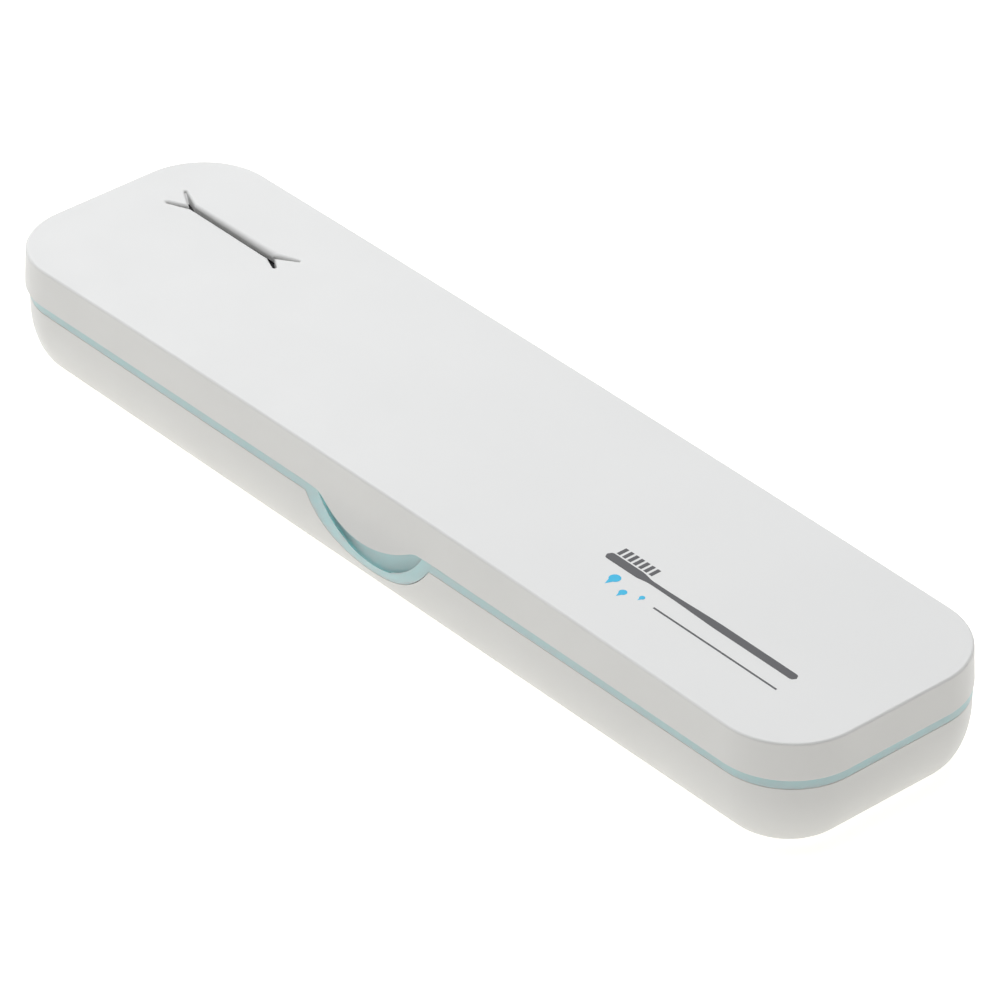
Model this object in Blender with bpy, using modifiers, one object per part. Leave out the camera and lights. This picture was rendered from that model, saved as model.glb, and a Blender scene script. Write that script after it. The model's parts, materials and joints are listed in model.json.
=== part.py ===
"""Portable ultraviolet toothbrush sanitizer, modelled closed, standing on its two rubber feet.

Frame: origin at the middle of the footprint on the table, +X along the case towards its battery end,
+Y towards the hinge, +Z up. The thumb scoop that opens the lid is in the middle of the -Y side.
Everything is in metres, written as millimetres times MM.
"""

import math

import bmesh
import bpy
from mathutils import Matrix, Vector

MM = 0.001

# Driving dimensions of the case
LENGTH = 220 * MM
WIDTH = 54 * MM
HEIGHT = 25 * MM
FRONT = -WIDTH / 2
CORNER_RADIUS = 15 * MM
WALL = 1.8 * MM
SEAM_GAP = 0.1 * MM  # between pieces that are clamped together
RUNNING_GAP = 0.3 * MM  # between pieces that move past each other

# Levels, from the table up
BASE_BOTTOM = 0.5 * MM
BASE_RIM = 15.0 * MM
BAND_LOW = BASE_RIM + SEAM_GAP
BAND_TOP = 17.0 * MM
LID_RIM = BAND_TOP + 0.25 * MM
BASE_FLOOR = BASE_BOTTOM + WALL

# The base's side curves in to its flat bottom as a quarter of an ellipse
HULL_INSET = 6.4 * MM
HULL_RISE = 12.1 * MM
HULL_STEPS = 4
CORNER_STEPS = 5

# The lid
LID_EDGE_RADIUS = 0.6 * MM
LID_CEILING = HEIGHT - WALL

# The blue tray
TRAY_DEPTH = WALL + RUNNING_GAP  # how far its basin lies inside the base's skin
TRAY_WALL = 1.2 * MM
POCKET_DEPTH = TRAY_DEPTH + TRAY_WALL
TRAY_FLOOR = BASE_BOTTOM + POCKET_DEPTH
DIVIDER_FRONT = 4.8 * MM
DIVIDER_BACK = 6.0 * MM
DIVIDER_TOP = 15.1 * MM

BRUSH_RESTS = (-60 * MM, 35 * MM, 80 * MM)
BRUSH_ROWS = (-15.6 * MM, -3.0 * MM)
HANDLE_RADIUS = 5.2 * MM
COVER_LEDGES = (-88 * MM, -20 * MM, 30 * MM, 90 * MM)

# The thumb scoop: an arc round an axis along Y, hollowed in slices of y, half width and lowest level
SCOOP_RADIUS = 20.4 * MM
SCOOP_CENTRE = 26.4 * MM
SCOOP_BACK = -22.3 * MM
SCOOP_MOUTH_TOP = 18.5 * MM
SCOOP_SLICES = (
    (-29.0, 15.3, 8.3),
    (-26.8, 15.3, 8.3),
    (-26.5, 15.3, 7.9),
    (-26.1, 15.2, 7.8),
    (-25.7, 14.8, 8.6),
    (-25.4, 14.1, 10.2),
    (-25.15, 13.2, 12.4),
    (-25.0, 12.0, 14.6),
)

# The lid's tongue hangs over the scoop and flares outwards for the fingertip
TONGUE_HALF = 14.4 * MM
TONGUE_LOW = 13.3 * MM
TONGUE_FLARE = 1.35 * MM
FLARE_START = 20.0 * MM
FLARE_FULL = 8.0 * MM  # half the width over which the flare is whole
FLARE_END = 20.0 * MM  # half the width at which it is gone

# The hinge
HINGE_Y = WIDTH / 2
HINGE_Z = 16.1 * MM
KNUCKLE_RADIUS = 2.0 * MM
KNUCKLE_CLEARANCE = KNUCKLE_RADIUS + RUNNING_GAP
PIN_RADIUS = 0.8 * MM
PIN_HOLE_RADIUS = 0.95 * MM
HINGE_CENTRES = {"left": -60 * MM, "right": 60 * MM}
HINGE_HALF = 12 * MM
LID_KNUCKLE_HALF = 5.7 * MM
BASE_KNUCKLE_START = LID_KNUCKLE_HALF + RUNNING_GAP

# The equipment bay behind the divider
BAY_Y = 13.0 * MM
COVER_LOW = DIVIDER_TOP + 0.2 * MM
COVER_TOP = COVER_LOW + 1.2 * MM
BATTERY_RADIUS = 5.15 * MM
BATTERY_LENGTH = 44.5 * MM
BATTERY_Z = 8.3 * MM
BATTERY_STARTS = {"left": -2.5 * MM, "right": 42.4 * MM}
BATTERY_NUB = 0.9 * MM
SPRING_PLATE_X = 92.9 * MM
LAMP_START = -99.5 * MM
LAMP_END = -45.5 * MM
LAMP_Z = 9.5 * MM
LAMP_RADIUS = 2.3 * MM
BOARD_LOW = 4.0 * MM
BOARD_TOP = 5.2 * MM
PARTS_LOW = BOARD_TOP + SEAM_GAP
BUTTON_X = -14 * MM
BUTTON_TRAVEL = 0.8 * MM
LIGHT_PIPE_X = -24 * MM
GRILLE_START = -97 * MM
GRILLE_PITCH = 4 * MM
GRILLE_SLOTS = 12
GUARD_START = -94.8 * MM
GUARD_PITCH = 4.2 * MM
GUARD_SLOTS = 11

# The battery door in the underside
DOOR_LOW = Vector((-2.8, 7.1, 0.5)) * MM
DOOR_HIGH = Vector((91.8, 18.9, 1.2)) * MM
DOOR_OPENING_LOW = Vector((-1.8, 7.6, -1.0)) * MM
DOOR_OPENING_HIGH = Vector((90.8, 18.4, 3.0)) * MM

FOOT_X = 98.5 * MM
FOOT_HALF_LENGTH = 9.5 * MM
FOOT_RADIUS = 2.0 * MM
FOOT_HEIGHT = 1.1 * MM

CASE_SCREWS = {
    "front_left": (-97.5 * MM, -15.5 * MM),
    "front_right": (97.5 * MM, -15.5 * MM),
    "back_left": (-41.0 * MM, 14.5 * MM),
    "back_right": (97.5 * MM, 15.5 * MM),
}
COVER_SCREWS = {"left": (-42.5 * MM, 20.2 * MM), "right": (97.5 * MM, 8.8 * MM)}
SCREW_HEAD_RADIUS = 1.9 * MM
SCREW_SHANK_RADIUS = 1.0 * MM
SCREW_HOLE_RADIUS = 1.2 * MM

CATCH_X = 25 * MM
CATCH_Y = -21.6 * MM
CATCH_RADIUS = 2.0 * MM

# Magnets in the lid as x, y and radius; their bosses' mouths are at one level
MAGNETS = {
    "catch_magnet_left": (-CATCH_X, CATCH_Y, CATCH_RADIUS),
    "catch_magnet_right": (CATCH_X, CATCH_Y, CATCH_RADIUS),
    "sensor_magnet": (-14.5 * MM, 4.6 * MM, 1.5 * MM),
}
BOSS_MOUTH = BAND_TOP + 0.35 * MM

# The slit over the lamp, a line with a short fork at each end
SLIT_LEFT = Vector((-95.0, 9.15)) * MM
SLIT_RIGHT = Vector((-71.6, 9.15)) * MM
SLIT_RADIUS = 0.75 * MM
SLIT_TIP_RADIUS = 0.2 * MM
SLIT_ARM_DEPTH = 1.0 * MM
SLIT_ARMS = (
    (SLIT_LEFT, (-5.1, 1.8)),
    (SLIT_LEFT, (-4.3, -2.5)),
    (SLIT_RIGHT, (4.0, -1.8)),
    (SLIT_RIGHT, (5.0, 3.1)),
)

COLOURS = {
    "white_plastic": ((0.88, 0.88, 0.87), 0.35, 0.0),
    "blue_plastic": ((0.53, 0.76, 0.79), 0.35, 0.0),
    "white_insert": ((0.84, 0.85, 0.86), 0.45, 0.0),
    "rubber": ((0.08, 0.08, 0.09), 0.8, 0.0),
    "steel": ((0.62, 0.63, 0.65), 0.3, 1.0),
    "magnet": ((0.7, 0.7, 0.72), 0.2, 1.0),
    "aluminium": ((0.86, 0.87, 0.88), 0.15, 1.0),
    "lamp_glass": ((0.85, 0.9, 1.0), 0.05, 0.0),
    "ceramic": ((0.9, 0.89, 0.85), 0.5, 0.0),
    "smoke_window": ((0.05, 0.05, 0.06), 0.1, 0.0),
    "circuit_green": ((0.02, 0.2, 0.08), 0.4, 0.0),
    "component_black": ((0.02, 0.02, 0.022), 0.5, 0.0),
    "winding_tape": ((0.8, 0.62, 0.1), 0.5, 0.0),
    "battery_jacket": ((0.1, 0.25, 0.5), 0.3, 0.2),
    "light_pipe": ((0.8, 0.9, 0.85), 0.1, 0.0),
    "wire_red": ((0.6, 0.03, 0.03), 0.5, 0.0),
    "wire_black": ((0.03, 0.03, 0.03), 0.5, 0.0),
}


# ---------------------------------------------------------------- scene and materials


def clear_scene():
    for obj in list(bpy.data.objects):
        bpy.data.objects.remove(obj)


def new_collection(name):
    collection = bpy.data.collections.new(name)
    bpy.context.scene.collection.children.link(collection)
    return collection


def material(name):
    found = bpy.data.materials.get(name)
    if found:
        return found
    colour, roughness, metallic = COLOURS[name]
    made = bpy.data.materials.new(name)
    made.use_nodes = True
    shader = made.node_tree.nodes["Principled BSDF"]
    shader.inputs["Base Color"].default_value = (*colour, 1.0)
    shader.inputs["Roughness"].default_value = roughness
    shader.inputs["Metallic"].default_value = metallic
    return made


def place(name, mesh, finish=None, at=(0, 0, 0)):
    """Puts a mesh in the scene: as a part if it has a finish, and otherwise as a hidden cutter."""
    obj = bpy.data.objects.new(name, mesh)
    obj.location = at
    if finish:
        mesh.materials.append(material(finish))
        PARTS.objects.link(obj)
    else:
        obj.hide_render = True
        obj.display_type = "WIRE"
        CUTTERS.objects.link(obj)
    return obj


def smooth(obj, angle=35):
    obj.data.shade_smooth()
    obj.data.set_sharp_from_angle(angle=math.radians(angle))
    return obj


# ---------------------------------------------------------------- basic shapes


def mesh_of(name, bm):
    bmesh.ops.recalc_face_normals(bm, faces=bm.faces)
    mesh = bpy.data.meshes.new(name)
    bm.to_mesh(mesh)
    bm.free()
    return mesh


def block(name, low, high, finish=None):
    """A box between two corners."""
    low, high = Vector(low), Vector(high)
    size = high - low
    bm = bmesh.new()
    bmesh.ops.create_cube(bm, size=1, matrix=Matrix.Diagonal((*size, 1)))
    return place(name, mesh_of(name, bm), finish, (low + high) / 2)


def rod(name, radius, start, end, finish=None, segments=20, end_radius=None):
    """A cylinder or a cone from one point to another."""
    start, end = Vector(start), Vector(end)
    bm = bmesh.new()
    bmesh.ops.create_cone(
        bm,
        cap_ends=True,
        segments=segments,
        radius1=radius,
        radius2=radius if end_radius is None else end_radius,
        depth=(end - start).length,
    )
    obj = place(name, mesh_of(name, bm), finish, (start + end) / 2)
    obj.rotation_euler = (end - start).to_track_quat("Z", "Y").to_euler()
    return smooth(obj)


def turned(name, profile, at, axis, finish, segments=20):
    """Turns (radius, height) points, listed from the top down, round Z, then lays Z along the axis."""
    mesh = bpy.data.meshes.new(name)
    points = [(radius, 0, height) for radius, height in profile]
    mesh.from_pydata(points, [(i, i + 1) for i in range(len(points) - 1)], [])
    obj = place(name, mesh, finish, at)
    obj.rotation_euler = Vector(axis).to_track_quat("Z", "Y").to_euler()
    spin = obj.modifiers.new("spin", "SCREW")
    spin.axis = "Z"
    spin.steps = segments
    spin.render_steps = segments
    spin.use_merge_vertices = True
    spin.merge_threshold = 0.00001
    spin.use_smooth_shade = True
    return obj


def plate(name, outline, low, high, finish=None, plane="XY"):
    """A flat outline drawn as a filled 2D curve, given thickness, and kept as a welded mesh."""
    curve = bpy.data.curves.new(name, "CURVE")
    curve.dimensions = "2D"
    curve.fill_mode = "BOTH"
    curve.extrude = (high - low) / 2
    spline = curve.splines.new("POLY")
    spline.points.add(len(outline) - 1)
    for point, (x, y) in zip(spline.points, outline):
        point.co = (x, y, 0, 1)
    spline.use_cyclic_u = True
    drawn = bpy.data.objects.new(name + "_drawn", curve)
    bpy.context.scene.collection.objects.link(drawn)
    middle = (low + high) / 2
    turns = {
        "XY": Matrix.Translation((0, 0, middle)),
        "XZ": Matrix.Translation((0, middle, 0)) @ Matrix.Rotation(math.pi / 2, 4, "X"),
        "YZ": Matrix.Translation((middle, 0, 0))
        @ Matrix(((0, 0, 1, 0), (1, 0, 0, 0), (0, 1, 0, 0), (0, 0, 0, 1))),
    }
    graph = bpy.context.evaluated_depsgraph_get()
    mesh = bpy.data.meshes.new_from_object(drawn.evaluated_get(graph))
    bpy.data.objects.remove(drawn)
    bm = bmesh.new()
    bm.from_mesh(mesh)
    bmesh.ops.remove_doubles(bm, verts=bm.verts, dist=0.000001)
    bm.transform(turns[plane])
    return place(name, mesh_of(name, bm), finish)


def wire(name, points, radius, finish, resolution=2):
    """A round wire through the points, with filled ends."""
    curve = bpy.data.curves.new(name, "CURVE")
    curve.dimensions = "3D"
    curve.bevel_depth = radius
    curve.bevel_resolution = resolution
    curve.use_fill_caps = True
    spline = curve.splines.new("POLY")
    spline.points.add(len(points) - 1)
    for point, place_at in zip(spline.points, points):
        point.co = (*place_at, 1)
    obj = bpy.data.objects.new(name, curve)
    curve.materials.append(material(finish))
    PARTS.objects.link(obj)
    return obj


def arc(radius, start, end, steps, centre=(0, 0)):
    """Points along an arc, with angles in degrees."""
    return [
        (
            centre[0] + radius * math.cos(math.radians(start + (end - start) * i / steps)),
            centre[1] + radius * math.sin(math.radians(start + (end - start) * i / steps)),
        )
        for i in range(steps + 1)
    ]


def smooth_route(points, per_leg):
    """A Catmull-Rom curve through the points."""
    padded = [points[0], *points, points[-1]]
    route = []
    for i in range(len(points) - 1):
        a, b, c, d = (Vector(p) for p in padded[i : i + 4])
        for k in range(per_leg):
            t = k / per_leg
            square = (2 * a - 5 * b + 4 * c - d) * t**2
            cube = (3 * b - a - 3 * c + d) * t**3
            route.append((2 * b + (c - a) * t + square + cube) / 2)
    return [*route, Vector(points[-1])]


# ---------------------------------------------------------------- the case's own shapes


def case_outline(inset):
    """The rounded rectangle of the case seen from above, moved in by the inset, anticlockwise."""
    radius = CORNER_RADIUS - inset
    x, y = LENGTH / 2 - CORNER_RADIUS, WIDTH / 2 - CORNER_RADIUS
    corners = ((x, y, 0), (-x, y, 90), (-x, -y, 180), (x, -y, 270))
    return [
        point
        for cx, cy, turn in corners
        for point in arc(radius, turn, turn + 90, CORNER_STEPS, (cx, cy))
    ]


def hull_ring(turn, depth):
    """Inset and height of the base's skin at an angle down its bottom curve, moved in by a depth."""
    inset = HULL_INSET * (1 - math.cos(turn))
    height = BASE_BOTTOM + HULL_RISE * (1 - math.sin(turn))
    out = Vector((math.cos(turn) / HULL_INSET, math.sin(turn) / HULL_RISE)).normalized()
    return inset + depth * out.x, height + depth * out.y


def hull_rings(depth, top):
    """The base's skin as rings from a top level down to the flat bottom, moved in by a depth."""
    turns = [math.pi / 2 * i / HULL_STEPS for i in range(HULL_STEPS + 1)]
    return [(depth, top), *(hull_ring(turn, depth) for turn in turns)]


def lid_rings(low):
    """The lid's skin as rings from a low level up to its flat top."""
    edge = [
        (
            LID_EDGE_RADIUS * (1 - math.cos(turn)),
            HEIGHT - LID_EDGE_RADIUS * (1 - math.sin(turn)),
        )
        for turn in (math.radians(a) for a in (0, 30, 60, 90))
    ]
    return [(0, low), *edge]


def loft(name, sections, finish=None, cap_first=True, cap_last=True):
    """Joins sections with the same number of points each; an end without a cap stays open."""
    bm = bmesh.new()
    rows = [[bm.verts.new(point) for point in section] for section in sections]
    count = len(rows[0])
    for near, far in zip(rows, rows[1:]):
        for i in range(count):
            j = (i + 1) % count
            bm.faces.new((near[i], near[j], far[j], far[i]))
    if cap_first:
        bm.faces.new(reversed(rows[0]))
    if cap_last:
        bm.faces.new(rows[-1])
    return place(name, mesh_of(name, bm), finish)


def case_loft(name, rings, finish=None, **caps):
    sections = [[(x, y, z) for x, y in case_outline(inset)] for inset, z in rings]
    return loft(name, sections, finish, **caps)


def boolean(obj, operation, *others):
    for other in others:
        step = obj.modifiers.new(f"{operation.lower()} {other.name}", "BOOLEAN")
        step.operation = operation
        step.object = other
    return obj


def cut(obj, *others):
    return boolean(obj, "DIFFERENCE", *others)


def join(obj, *others):
    return boolean(obj, "UNION", *others)


def curved_bottom(half_width, low, level):
    """Radius and centre level of an arc with its lowest point at low and a half width at a level."""
    drop = level - low
    radius = (half_width**2 + drop**2) / (2 * drop)
    return radius, low + radius


def solidify(obj, thickness):
    shell = obj.modifiers.new("wall", "SOLIDIFY")
    shell.thickness = thickness
    shell.offset = -1
    shell.use_even_offset = True
    return obj


def tapered_slot(name, start, start_radius, end, end_radius, low, high):
    """A cutter with the outline of two discs joined by straight sides."""
    start, end = Vector(start), Vector(end)
    heading = math.degrees(math.atan2(end.y - start.y, end.x - start.x))
    outline = [
        *arc(end_radius, heading - 90, heading + 90, 5, end),
        *arc(start_radius, heading + 90, heading + 270, 5, start),
    ]
    return plate(name, outline, low, high)


def around_y(name, radius, low_y, high_y):
    """A cylinder along Y, round the thumb scoop's axis."""
    return rod(name, radius, (0, low_y, SCOOP_CENTRE), (0, high_y, SCOOP_CENTRE), segments=60)


def along_hinge(name, radius, low_x, high_x, segments=20):
    ends = (low_x, HINGE_Y, HINGE_Z), (high_x, HINGE_Y, HINGE_Z)
    return rod(name, radius, *ends, segments=segments)


def hinge_spans(start, end):
    """The stretches of X from start to end on both sides of each hinge's middle."""
    for side, centre in HINGE_CENTRES.items():
        yield f"{side}_a", centre - end, centre - start
        yield f"{side}_b", centre + start, centre + end


# ---------------------------------------------------------------- base shell


def base_knuckle(name, low_x, high_x):
    """A hinge knuckle with a web down to the wall."""
    y, z, r = HINGE_Y, HINGE_Z, KNUCKLE_RADIUS
    inside_wall = y - WALL * 2 / 3
    web_low = z - 6.2 * MM
    web = [(inside_wall, web_low), (y - 0.4 * MM, web_low), (y + r, z - 3.4 * MM)]
    outline = [*arc(r, 0, 180, 10, (y, z)), (inside_wall, z - 1.6 * MM), *web]
    return plate(name, outline, low_x, high_x, plane="YZ")


def screw_hole(name, x, y, low, head_depth, top):
    """A countersunk hole that opens downwards at a low level."""
    sink = rod(
        name + "_sink",
        SCREW_HEAD_RADIUS + 0.6 * MM,
        (x, y, low - 0.2 * MM),
        (x, y, low + head_depth),
        end_radius=SCREW_HOLE_RADIUS,
    )
    hole = rod(name + "_hole", SCREW_HOLE_RADIUS, (x, y, low - MM), (x, y, top), segments=16)
    return sink, hole


def build_base_shell():
    shell = case_loft("base_shell", hull_rings(0, BASE_RIM), "white_plastic", cap_first=False)
    solidify(shell, WALL)
    for label, low_x, high_x in hinge_spans(BASE_KNUCKLE_START, HINGE_HALF):
        join(shell, base_knuckle(f"base_knuckle_{label}", low_x, high_x))
    # Cradle walls beside the batteries, end walls that hold the contacts, and posts for the board
    walls = {
        "front": ((-4.6, 6.5, 1.9), (94.2, 7.3, 8.0)),
        "back": ((-4.6, 18.7, 1.9), (94.2, 19.5, 8.0)),
        "left": ((-4.7, 6.6, 1.9), (-3.9, 19.4, 8.0)),
        "right": ((93.5, 6.6, 1.9), (94.3, 19.4, 8.0)),
    }
    for side, (low, high) in walls.items():
        join(shell, block(f"cradle_{side}", Vector(low) * MM, Vector(high) * MM))
    for i, x in enumerate((-34 * MM, -11 * MM)):
        post = (x, 18.0 * MM, BASE_FLOOR - 0.4 * MM), (x, 18.0 * MM, BOARD_LOW - 0.2 * MM)
        join(shell, rod(f"board_post_{i}", 1.5 * MM, *post, segments=12))
    cut(
        shell,
        block("door_opening", DOOR_OPENING_LOW, DOOR_OPENING_HIGH),
        block(
            "door_seat",
            DOOR_LOW - Vector((0.2, 0.2, 1.0)) * MM,
            DOOR_HIGH + Vector((0.2, 0.2, 0.1)) * MM,
        ),
        around_y("scoop_notch", SCOOP_RADIUS, -32 * MM, -22.5 * MM),
    )
    reach = LID_KNUCKLE_HALF + RUNNING_GAP / 2
    for side, centre in HINGE_CENTRES.items():
        room = centre - reach, centre + reach
        cut(shell, along_hinge(f"lid_knuckle_room_{side}", KNUCKLE_CLEARANCE, *room))
    cut(shell, PIN_BORE)
    for label, (x, y) in CASE_SCREWS.items():
        cut(shell, *screw_hole(f"case_{label}", x, y, BASE_BOTTOM, 1.5 * MM, 4 * MM))
    for side in (-1, 1):
        cut(shell, foot_shape(f"foot_seat_{side + 1}", side, 0.15 * MM, -MM, FOOT_HEIGHT + 0.1 * MM))
    return smooth(shell, 30)


def foot_shape(name, side, margin, low, high, finish=None):
    x, reach, r = side * FOOT_X, FOOT_HALF_LENGTH, FOOT_RADIUS + margin
    outline = [*arc(r, 0, 180, 8, (x, reach)), *arc(r, 180, 360, 8, (x, -reach))]
    return plate(name, outline, low, high, finish)


def build_feet():
    for label, side in (("left", -1), ("right", 1)):
        foot = foot_shape(f"foot_{label}", side, 0, 0, FOOT_HEIGHT, "rubber")
        edge = foot.modifiers.new("edge", "BEVEL")
        edge.width = 0.2 * MM
        edge.segments = 1


def build_battery_door():
    """A flush panel with a plug that fills the opening and a finger notch at its right end."""
    door = block("battery_door", DOOR_LOW, DOOR_HIGH, "white_plastic")
    low = DOOR_OPENING_LOW + Vector((0.3, 0.3, 0)) * MM
    high = DOOR_OPENING_HIGH - Vector((0.3, 0.3, 0)) * MM
    low.z, high.z = 1.0 * MM, 2.1 * MM
    join(door, block("door_plug", low, high))
    for side in (-1, 1):
        y = BAY_Y + side * 4.0 * MM
        hook = ((-3.4 * MM, y - 0.9 * MM, 2.6 * MM), (-0.6 * MM, y + 0.9 * MM, 3.3 * MM))
        neck = ((-1.5 * MM, y - 0.9 * MM, 1.9 * MM), (-0.6 * MM, y + 0.9 * MM, 2.9 * MM))
        join(door, block(f"door_neck_{side + 1}", *neck), block(f"door_hook_{side + 1}", *hook))
    notch = rod("door_notch", 4 * MM, (96.4 * MM, BAY_Y, 0), (88.4 * MM, BAY_Y, -1.6 * MM), segments=24)
    cut(door, notch)
    for i in range(3):
        x = (80 + 2.2 * i) * MM
        groove = ((x, BAY_Y - 3.5 * MM, 0.2 * MM), (x + 0.9 * MM, BAY_Y + 3.5 * MM, 0.8 * MM))
        cut(door, block(f"door_grip_{i}", *groove))
    return door


# ---------------------------------------------------------------- blue tray


def scoop_section(y, half_width, bottom, steps=12):
    """One upright slice of the thumb scoop: an arc through its two top corners and its lowest point."""
    radius, centre = curved_bottom(half_width, bottom, BAND_TOP)
    reach = math.degrees(math.atan2(half_width, centre - BAND_TOP))
    bowl = arc(radius, -90 - reach, -90 + reach, steps, (0, centre))
    return [(x, y, z) for x, z in [*bowl, (half_width, SCOOP_MOUTH_TOP), (-half_width, SCOOP_MOUTH_TOP)]]


def scoop_cutter():
    """The hollow for the fingertip: through the lip, a dip behind it, then up to the back wall."""
    return loft("thumb_scoop", [scoop_section(*(Vector(each) * MM)) for each in SCOOP_SLICES])


def build_inner_tray():
    tray = case_loft("inner_tray", hull_rings(0, BAND_TOP), "blue_plastic")
    scoop = around_y("scoop_keep", SCOOP_RADIUS - 0.15 * MM, -32 * MM, SCOOP_BACK)
    # What the base shell takes up: all outside the basin and under the band, but for the scoop
    shell_space = block("shell_space", (-LENGTH, -WIDTH, -5 * MM), (LENGTH, WIDTH, BAND_LOW))
    basin = case_loft("basin", hull_rings(TRAY_DEPTH, 22 * MM))
    cut(shell_space, basin, scoop)
    cut(tray, shell_space)
    # The hollow inside, with the divider and the back of the scoop left standing
    hollow = case_loft("hollow", hull_rings(POCKET_DEPTH, 22 * MM))
    divider = block("divider", (-LENGTH, DIVIDER_FRONT, -MM), (LENGTH, DIVIDER_BACK, DIVIDER_TOP))
    cut(hollow, scoop, divider)
    cut(tray, hollow)
    cut(tray, scoop_cutter())
    # The bay is open underneath, for the batteries and the board
    cut(tray, block("bay_floor", (-104.5 * MM, 6.2 * MM, -MM), (95.2 * MM, 20.6 * MM, 8.4 * MM)))
    add_brush_rests(tray)
    add_tray_bosses(tray)
    add_tray_pads(tray)
    cut(tray, block("lamp_window", (-96.5 * MM, 4 * MM, 5.0 * MM), (-47.5 * MM, 7 * MM, 14.0 * MM)))
    reach = HINGE_HALF + RUNNING_GAP
    for side, centre in HINGE_CENTRES.items():
        low = (centre - reach, HINGE_Y - 2.6 * MM, 9.0 * MM)
        cut(tray, block(f"hinge_room_{side}", low, (centre + reach, WIDTH, 20 * MM)))
    return smooth(tray, 30)


def add_brush_rests(tray):
    """Low ribs across the brush compartment, each with two round notches for the handles."""
    inside = case_loft("rib_space", hull_rings(TRAY_DEPTH + 0.4 * MM, 22 * MM))
    for i, x in enumerate(BRUSH_RESTS):
        rib = block(
            f"brush_rest_{i}",
            (x - 0.8 * MM, -24.2 * MM, TRAY_FLOOR - 0.4 * MM),
            (x + 0.8 * MM, DIVIDER_FRONT + 0.5 * MM, 8.6 * MM),
        )
        for j, y in enumerate(BRUSH_ROWS):
            ends = (x - 2 * MM, y, 10.2 * MM), (x + 2 * MM, y, 10.2 * MM)
            cut(rib, rod(f"handle_notch_{i}{j}", HANDLE_RADIUS, *ends))
        boolean(rib, "INTERSECT", inside)
        join(tray, rib)


def add_tray_bosses(tray):
    """Bosses for the screws from below and for those of the bay cover."""
    low = TRAY_FLOOR - MM
    for label, (x, y) in CASE_SCREWS.items():
        join(tray, rod(f"boss_{label}", 2.4 * MM, (x, y, low), (x, y, 11.0 * MM)))
        if label == "back_left":
            arm = (x - 0.8 * MM, DIVIDER_FRONT + 0.4 * MM, low), (x + 0.8 * MM, y, 6.5 * MM)
            join(tray, block("boss_arm", *arm))
        hole = (x, y, 0), (x, y, 9.4 * MM)
        cut(tray, rod(f"boss_hole_{label}", SCREW_HOLE_RADIUS, *hole, segments=16))
    low = 9.0 * MM
    walls = {"left": 24.3 * MM, "right": 4.9 * MM}
    for label, (x, y) in COVER_SCREWS.items():
        near, far = sorted((walls[label], y))
        web = (x - 0.8 * MM, near, low), (x + 0.8 * MM, far, DIVIDER_TOP)
        join(
            tray,
            rod(f"cover_boss_{label}", 2.2 * MM, (x, y, low), (x, y, DIVIDER_TOP)),
            block(f"cover_boss_web_{label}", *web),
        )
        hole = (x, y, low + 0.9 * MM), (x, y, 18 * MM)
        cut(tray, rod(f"cover_boss_hole_{label}", SCREW_HOLE_RADIUS, *hole, segments=16))


def add_tray_pads(tray):
    """The ledges that carry the bay cover and the two pads with seats for the catch plates."""
    for i, x in enumerate(COVER_LEDGES):
        ledge = (x - 3 * MM, 22.6 * MM, 13.6 * MM), (x + 3 * MM, 24.3 * MM, DIVIDER_TOP)
        join(tray, block(f"cover_ledge_{i}", *ledge))
    for label, x in (("left", -CATCH_X), ("right", CATCH_X)):
        low = (x - 3.4 * MM, -24.4 * MM, 14.2 * MM)
        high = (x + 3.4 * MM, CATCH_Y + 3.0 * MM, BAND_TOP - 0.2 * MM)
        join(tray, block(f"catch_pad_{label}", low, high))
        seat = (x, CATCH_Y, BAND_TOP - 1.4 * MM), (x, CATCH_Y, BAND_TOP + MM)
        cut(tray, rod(f"catch_seat_{label}", CATCH_RADIUS + 0.2 * MM, *seat))


def build_bay_cover():
    """The white lid over the lamp, the board and the batteries, with a grille above the lamp."""
    inset = POCKET_DEPTH + RUNNING_GAP
    cover = case_loft("bay_cover", [(inset, COVER_LOW), (inset, COVER_TOP)], "white_insert")
    front = (-LENGTH, -WIDTH, 0), (LENGTH, DIVIDER_FRONT + SEAM_GAP, HEIGHT)
    cut(cover, block("cover_front_cut", *front))
    for i in range(GRILLE_SLOTS):
        x = GRILLE_START + i * GRILLE_PITCH
        slot = (x, BAY_Y - 4.8 * MM, 10 * MM), (x + GRILLE_PITCH / 2, BAY_Y + 4 * MM, 20 * MM)
        cut(cover, block(f"cover_slot_{i}", *slot))
    rib_low = BATTERY_Z + BATTERY_RADIUS + 0.3 * MM
    for side, start in BATTERY_STARTS.items():
        x = start + BATTERY_LENGTH / 2
        rib = (x - 0.8 * MM, 9.0 * MM, rib_low), (x + 0.8 * MM, 17.0 * MM, COVER_LOW + 0.4 * MM)
        join(cover, block(f"battery_hold_{side}", *rib))
    for label, (x, y) in COVER_SCREWS.items():
        sink = rod(
            f"cover_sink_{label}",
            SCREW_HOLE_RADIUS,
            (x, y, COVER_LOW - 0.1 * MM),
            (x, y, COVER_TOP + 0.2 * MM),
            end_radius=SCREW_HEAD_RADIUS + 0.4 * MM,
        )
        cut(cover, sink)
    for label, x, radius in (("button", BUTTON_X, 4.3 * MM), ("pipe", LIGHT_PIPE_X, 1.2 * MM)):
        hole = (x, BAY_Y, 14 * MM), (x, BAY_Y, 18 * MM)
        cut(cover, rod(f"{label}_hole", radius, *hole, segments=28))
    # The hinge knuckles reach this far in behind the rim
    reach = HINGE_HALF + 0.5 * MM
    for side, centre in HINGE_CENTRES.items():
        low = (centre - reach, HINGE_Y - 3.9 * MM, 10 * MM)
        cut(cover, block(f"cover_hinge_room_{side}", low, (centre + reach, WIDTH, 20 * MM)))
    return smooth(cover, 30)


# ---------------------------------------------------------------- lid


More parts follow.
